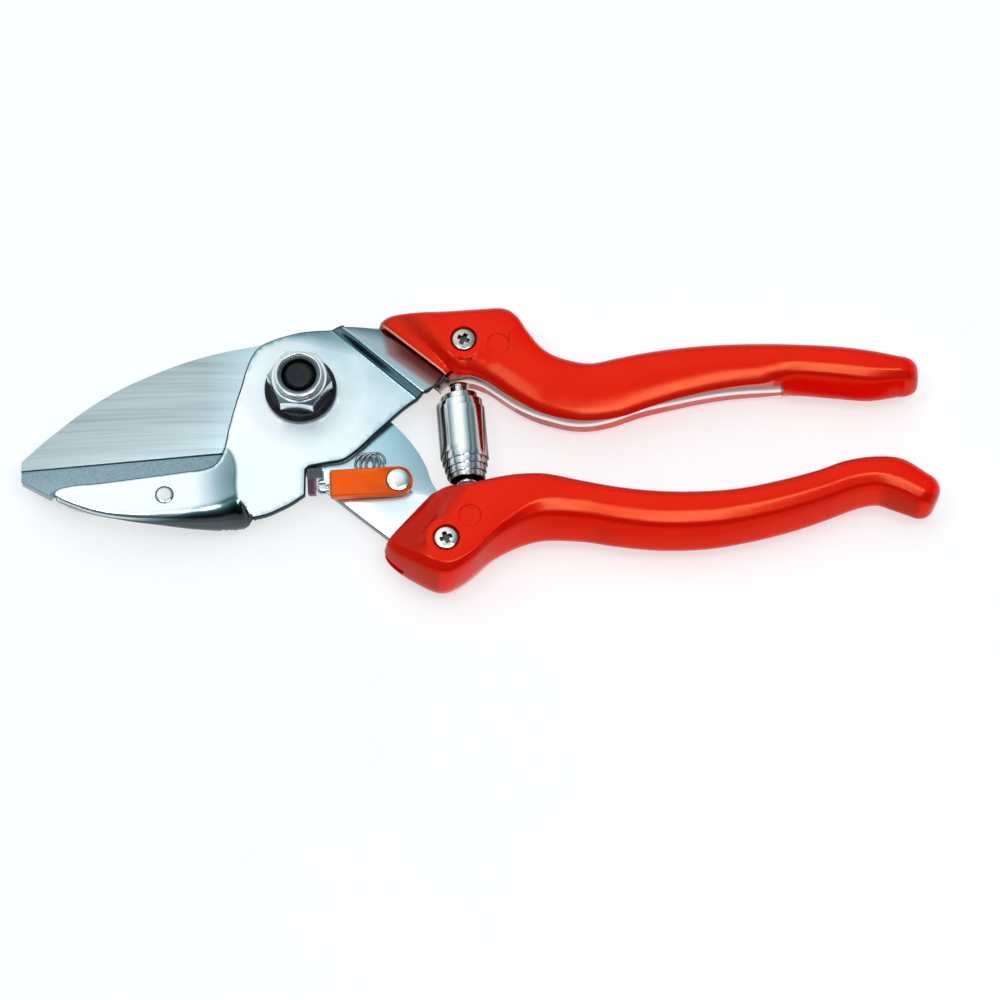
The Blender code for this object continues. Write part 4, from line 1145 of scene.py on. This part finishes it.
def cast_look():
    """Grainy cast alloy, with painted light by how it faces: painted shade on its slopes,
    and painted highlights where it faces up and on its upright sides.
    """
    material, tree, place = new_look("cast_anvil_strip", (0.22, 0.30, 0.33), 0.5, 1.0)
    grain = noise(tree, place, 0.45, 4.0)
    tint = ramp(tree, grain, [
        (0.30, (0.24, 0.33, 0.36)), (0.5, (0.33, 0.42, 0.45)), (0.70, (0.44, 0.53, 0.56))])
    height = axes(tree, add_node(tree, "ShaderNodeNewGeometry").outputs["Normal"])[2]
    # Painted light by the way a face turns: bright upright sides, dark slopes, bright tops.
    painted_light_by_facing = ramp(tree, height, [
        (0.30, (1, 1, 1)), (0.45, (0.16, 0.20, 0.21)), (0.93, (0.16, 0.20, 0.21)),
        (0.99, (0.92, 0.98, 1))])
    return finished(material, blended(tree, 1.0, tint, painted_light_by_facing, blend="MULTIPLY"),
                    span(tree, grain, 0.42, 0.62), (grain, 0.08))


def plain_metal_look(name, colour, rough_low, rough_high):
    """A metal with small variations of tint and gloss."""
    material, tree, place = new_look(name, colour, rough_low, 1.0)
    dark = tuple(channel * 0.82 for channel in colour)
    fine = noise(tree, place, 0.5, 2.0)
    return finished(material, ramp(tree, noise(tree, place, 3.0), [(0.3, dark), (0.7, colour)]),
                    span(tree, fine, rough_low, rough_high), (fine, 0.002))


def lever_look():
    """Bright steel with painted shade and a painted orange reflection at its tip,
    and painted shade on its far side.
    """
    steel = (0.7, 0.76, 0.78)
    material, tree, place = new_look("lever_painted_shade", steel, 0.2, 1.0)
    x, y, _ = axes(tree, place)
    cloud = noise(tree, place, 1.2, 3.0)
    tip = maths(tree, "ADD", x, maths(tree, "MULTIPLY", cloud, 1.2))
    # Painted shade with a painted orange reflection at the tongue's tip.
    tint = ramp(tree, rising(tree, tip, 3.0, 6.0), [
        (0.30, (0.09, 0.045, 0.06)), (0.50, (0.24, 0.15, 0.17)), (0.62, steel)])
    # Painted shade on the far side of the lever and its tongue.
    colour = blended(tree, rising(tree, y, -22.0, -21.4), tint, (0.075, 0.09, 0.10))
    return finished(material, colour, span(tree, cloud, 0.16, 0.3), (cloud, 0.03))


def spring_look():
    """Nickelled spring strip, with painted dark reflections along both of its sides."""
    material, tree, place = new_look("spring_painted_side_reflection", (0.8, 0.8, 0.77), 0.12, 1.0)
    height = maths(tree, "ABSOLUTE", maths(tree, "SUBTRACT", axes(tree, place)[2], MID_PLANE))
    cloud = noise(tree, place, 1.4, 3.0, (1.0, 0.3, 1.0))
    height = maths(tree, "ADD", height, span(tree, cloud, -0.25, 0.25))
    # Painted dark reflection: the strip darkens towards the height of its axis, where its sides
    # face out.
    tint = ramp(tree, rising(tree, height, 0.0, 5.0), [
        (0.0, (0.02, 0.018, 0.016)), (0.40, (0.05, 0.045, 0.04)), (0.56, (0.42, 0.43, 0.40)),
        (0.80, (0.86, 0.86, 0.83))])
    return finished(material, tint, span(tree, cloud, 0.08, 0.16),
                    (noise(tree, place, 0.5, 2.0), 0.001))


def blackened_look():
    """Oiled black oxide."""
    material, tree, place = new_look(
        "black_oxide", (0.012, 0.014, 0.016), 0.32, 0.0, {"Specular IOR Level": 0.28})
    cloud = noise(tree, place, 1.6, 4.0)
    tint = ramp(tree, cloud, [(0.3, (0.003, 0.004, 0.005)), (0.7, (0.014, 0.017, 0.02))])
    return finished(material, tint, span(tree, cloud, 0.24, 0.42),
                    (noise(tree, place, 0.3, 2.0), 0.006))


def moulded_look(name, colour, shade, roughness, streak=(0.35, 1.0, 1.0)):
    """Glossy moulded plastic, with painted shade towards the sides: soft waves, fine grain, faint
    marks.
    """
    material, tree, place = new_look(
        name, colour, roughness, 0.0, {"Specular Tint": (1.0, 0.45, 0.17, 1)})
    x, y, _ = axes(tree, add_node(tree, "ShaderNodeTexCoord").outputs["Normal"])
    # Painted shade: faces turned towards -Y or +Y in bands, and faces turned towards -X, get a
    # darker colour.
    painted_side_shade = ramp(tree, rising(tree, y, -1.0, 1.0), [
        (0.06, 0.0), (0.14, 0.30), (0.20, 0.85), (0.30, 0.95), (0.35, 0.0), (0.60, 0.0),
        (0.80, 1.0)])
    painted_side_shade = maths(tree, "MAXIMUM", painted_side_shade, falling(tree, x, -0.30, -0.06))
    tint = ramp(tree, noise(tree, place, 11.0, 2.0), [(0.3, shade), (0.7, colour)])
    marks = noise(tree, place, 1.1, 5.0, streak)
    return finished(
        material, blended(tree, painted_side_shade, tint, tuple(channel * 0.62 for channel in colour)),
        span(tree, marks, roughness * 0.8, roughness * 1.35),
        (noise(tree, place, 5.0, 1.0), 0.02), (noise(tree, place, 0.35, 2.0), 0.0012))


# ---------------------------------------------------------------- set and light
def make_floor():
    """Pale paper, just below the tool."""
    bm = bmesh.new()
    bmesh.ops.create_grid(bm, x_segments=1, y_segments=1, size=4000.0)
    paper, tree, place = new_look("paper", (0.46, 0.47, 0.48), 0.8, 0.0, {
        "Specular IOR Level": 0.1, "Emission Color": (1.0, 1.0, 1.0, 1),
        "Emission Strength": 0.575})
    tint = ramp(tree, noise(tree, place, 60.0), [
        (0.3, (0.455, 0.465, 0.47)), (0.7, (0.465, 0.47, 0.475))])
    tree.links.new(tint, tree.nodes["Principled BSDF"].inputs["Base Color"])
    floor = new_object("floor", bm, paper)
    floor.location.z = -FLOOR_DROP * MM


def make_world():
    """A plain backdrop for the camera, and a studio with a bright patch for everything else."""
    world = bpy.data.worlds.new("studio")
    SCENE.world = world
    world.use_nodes = True
    tree = world.node_tree
    tree.nodes.clear()
    ray = add_node(tree, "ShaderNodeTexCoord").outputs["Generated"]
    bright = Vector((-0.27, 0.46, 0.84)).normalized()
    facing = add_node(tree, "ShaderNodeVectorMath", {0: ray, 1: bright}, operation="DOT_PRODUCT")
    glow = ramp(tree, facing.outputs["Value"], [
        (0.00, (0.012, 0.017, 0.02)), (0.35, (0.05, 0.075, 0.085)), (0.55, (0.14, 0.22, 0.25)),
        (0.66, (0.20, 0.31, 0.35)), (0.69, (0.09, 0.14, 0.155)), (0.76, (0.08, 0.125, 0.14)),
        (0.80, (0.26, 0.37, 0.41)), (0.87, (0.40, 0.53, 0.58)), (0.925, (0.62, 0.76, 0.82)),
        (0.955, (0.84, 0.93, 0.96)), (0.98, (1.0, 1.0, 1.0)),
    ])
    sweep = ramp(tree, axes(tree, ray)[2], [
        (0.0, (0.48, 0.52, 0.54)), (0.26, (0.52, 0.56, 0.58)), (0.50, (0, 0, 0))])
    whole = blended(tree, 1.0, glow, sweep, blend="ADD")
    lit = add_node(tree, "ShaderNodeBackground", {"Color": whole, "Strength": 1.15})
    seen = add_node(tree, "ShaderNodeBackground", {"Color": (0.95, 0.98, 1.0, 1), "Strength": 0.95})
    rays = add_node(tree, "ShaderNodeLightPath").outputs["Is Camera Ray"]
    mixed = add_node(
        tree, "ShaderNodeMixShader", {"Fac": rays, 1: lit.outputs[0], 2: seen.outputs[0]})
    add_node(tree, "ShaderNodeOutputWorld", {"Surface": mixed.outputs[0]})


def make_camera():
    """A long lens, tipped a little from straight above."""
    camera = bpy.data.cameras.new("camera")
    camera.lens, camera.sensor_width, camera.clip_end = LENS, SENSOR, 20.0
    tilt = math.radians(CAMERA_TILT)
    aim = Vector((*CAMERA_AIM, PLATE_HIGH)) * MM
    holder = bpy.data.objects.new("camera", camera)
    holder.location = aim + Vector((0, -math.sin(tilt), math.cos(tilt))) * (
        VIEW_WIDTH * MM * LENS / SENSOR)
    holder.rotation_euler = (tilt, 0, 0)
    SCENE.collection.objects.link(holder)
    SCENE.camera = holder
    SCENE.view_settings.view_transform = "Standard"


def area_light(name, place, target, size, power, in_gloss):
    """A rectangular soft light."""
    light = bpy.data.lights.new(name, "AREA")
    light.shape = "RECTANGLE"
    light.size, light.size_y = size
    light.energy = power
    holder = bpy.data.objects.new(name, light)
    holder.location = place
    holder.rotation_euler = (Vector(target) - Vector(place)).to_track_quat("-Z", "Y").to_euler()
    holder.visible_glossy = in_gloss
    SCENE.collection.objects.link(holder)


# ---------------------------------------------------------------- build
def placed(piece, body, slot, *nodes):
    """Put a piece on its body, in place of its CAD nodes."""
    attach(piece, body)
    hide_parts(*nodes)


looks = {
    "steel": chromed_look(), "ground": ground_look(), "cast": cast_look(), "lever": lever_look(),
    "spring": spring_look(), "blackened": blackened_look(),
    "grip": moulded_look("red_grip", (0.88, 0.004, 0.0008), (0.82, 0.003, 0.0006), 0.17),
    # A pale pink painted highlight along the upper grip's front edge.
    "rim": moulded_look("painted_highlight_line", (0.98, 0.42, 0.34), (0.96, 0.34, 0.27), 0.25),
    "latch": moulded_look(
        "orange_latch", (1.0, 0.115, 0.006), (0.94, 0.095, 0.004), 0.32, (0.05, 1.6, 1.0)),
}
for short, name, colour, rough_low, rough_high in (
        # The sheet's cut edges get a near-black metal.
        ("dark_edge", "dark_cut_edge", (0.045, 0.06, 0.066), 0.35, 0.55),
        ("nut", "zinc_nut", (0.78, 0.82, 0.83), 0.10, 0.20),
        ("nickel", "bright_nickel", (0.80, 0.80, 0.77), 0.06, 0.13),
        # Two copies of one nickel: a darker one is painted shade on the upper screw, and a brighter
        # one is a painted highlight on the lower screw and the latch rivet.
        ("upper_nickel", "nickel_painted_dark", (0.62, 0.60, 0.52), 0.14, 0.28),
        ("lower_nickel", "nickel_painted_bright", (0.98, 0.95, 0.88), 0.12, 0.22),
        ("wire", "dark_wire", (0.34, 0.38, 0.39), 0.08, 0.16),
        # Painted shade: the walls of the cross recess are near black.
        ("recess", "cross_recess_painted_shade", (0.12, 0.13, 0.11), 0.3, 0.5),
        ("bronze", "turned_bronze", (0.55, 0.36, 0.16), 0.25, 0.40),
        ("nylon", "dark_nylon_ring", (0.22, 0.28, 0.29), 0.25, 0.4)):
    looks[short] = plain_metal_look(name, colour, rough_low, rough_high)

make_floor()
make_world()
area_light("overhead", (0.30, -0.15, 0.86), (0.04, -0.01, 0), (1.3, 1.3), 3.1, False)
area_light("strip", (0.20, -0.19, 0.90), (0.09, -0.02, 0.01), (0.38, 0.17), 1.9, True)
area_light("ridge", (-0.22, -0.11, 0.86), (0.045, 0.0, 0.015), (0.30, 0.20), 0.9, True)
make_camera()

placed(make_frame(looks["steel"], looks["dark_edge"]), "anvil_handle", "chromed_steel", "anvil_frame")
placed(make_anvil(looks["cast"]), "anvil_handle", "cast_anvil", "anvil")
placed(make_blade(looks["ground"]), "blade_handle", "ground_steel", "blade")

rivet_top = CHEEK_HIGH + 0.06
jaw_rivet = turned("jaw_rivet", [
    (0, rivet_top, 0), (1.5, rivet_top - 0.02, 0.3), (1.96, rivet_top - 0.16, 0.15),
    (1.96, 2.75, 0.3), (1.9, 2.42, 0.2), (0, 2.4, 0)], JAW_RIVET, looks["nut"])
placed(jaw_rivet, "anvil_handle", "chromed_steel", "anvil_rivet")

pivot = make_pivot(looks["blackened"], looks["nut"], looks["nylon"])
for node in ("pivot_bolt", "pivot_washer", "back_washer"):
    placed(pivot[node], "anvil_handle", "blackened_steel", node)
placed(pivot["pivot_nut"], "anvil_handle", "chromed_steel", "pivot_nut")
placed(pivot["nut_insert"], "anvil_handle", "dark_nylon", "nut_insert")

upper = make_grip("upper_handle_grip", UPPER_RIBS, True, UPPER_SCREW, (45.5, 9.8), (4.6, -0.2),
                  looks["grip"], looks["rim"])
lower = make_grip("lower_handle_grip", LOWER_RIBS, False, LOWER_SCREW, (39.2, -32.4), (3.7, -2.0),
                  looks["grip"])
mouth = [(8.0, -12.0), (8.0, 15.8), (18.2, 15.5), (30.0, 15.6), (41.0, 15.6), (40.0, 5.2),
         (34.6, 3.4), (31.0, -2.0), (31.0, -12.0)]
window = [(x, y + 0.15) for x, y in smooth_path(WEB_EDGE, 1.0, False)]
window += [(30.0, -14.0), (110.0, -14.0)]
cut(upper, prism("mouth", mouth, 1.95, 13.72), prism("window", window, 1.95, 13.2), sharp=60)
slot = prism("slot", smooth_path(TANG_SLOT, 2.0), BLADE_LOW - 0.2, BLADE_HIGH + 0.25)
cut(lower, slot, sharp=60)
placed(upper, "anvil_handle", "grip_plastic", "upper_grip")
placed(lower, "blade_handle", "grip_plastic", "lower_grip")

for side, place, body, turn in (("upper", UPPER_SCREW, "anvil_handle", 65),
                                ("lower", LOWER_SCREW, "blade_handle", 22)):
    screw = make_screw(side + "_screw", place, turn, looks[side + "_nickel"], looks["recess"])
    nut = hex_ring(side + "_nut", 5.5, 0.2, 1.7, 1.6, (1, 1), 0, place, looks["nickel"])
    placed(screw, body, "nickelled_steel", side + "_grip_screw")
    placed(nut, body, "nickelled_steel", side + "_grip_nut")

latch = make_latch(looks["lever"], looks["latch"], looks["lower_nickel"])
placed(latch["latch_lever"], "latch", "chromed_steel", "latch_lever")
placed(latch["latch_cover"], "latch", "latch_plastic", "latch_cover")
placed(latch["latch_rivet"], "blade_handle", "nickelled_steel", "latch_rivet")
placed(make_latch_spring(looks["wire"]), "blade_handle", "nickelled_steel", "latch_spring")

spring, spring_start, spring_end = make_buffer_spring(looks["spring"])
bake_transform(spring)
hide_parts("buffer_spring")
for side, place, other, body in (("upper", SPRING_TOP, SPRING_BOTTOM, "anvil_handle"),
                                 ("lower", SPRING_BOTTOM, SPRING_TOP, "blade_handle")):
    seat = make_seat(side + "_seat", place, other, looks["nickel"])
    placed(seat, body, "nickelled_steel", side + "_spring_seat")

for node, look in (("pivot_bush", "bronze"), ("lower_handle_core", "steel"),
                   ("tang_rivet_front", "nickel"), ("tang_rivet_rear", "nickel")):
    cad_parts[node].data.materials.clear()
    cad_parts[node].data.materials.append(looks[look])
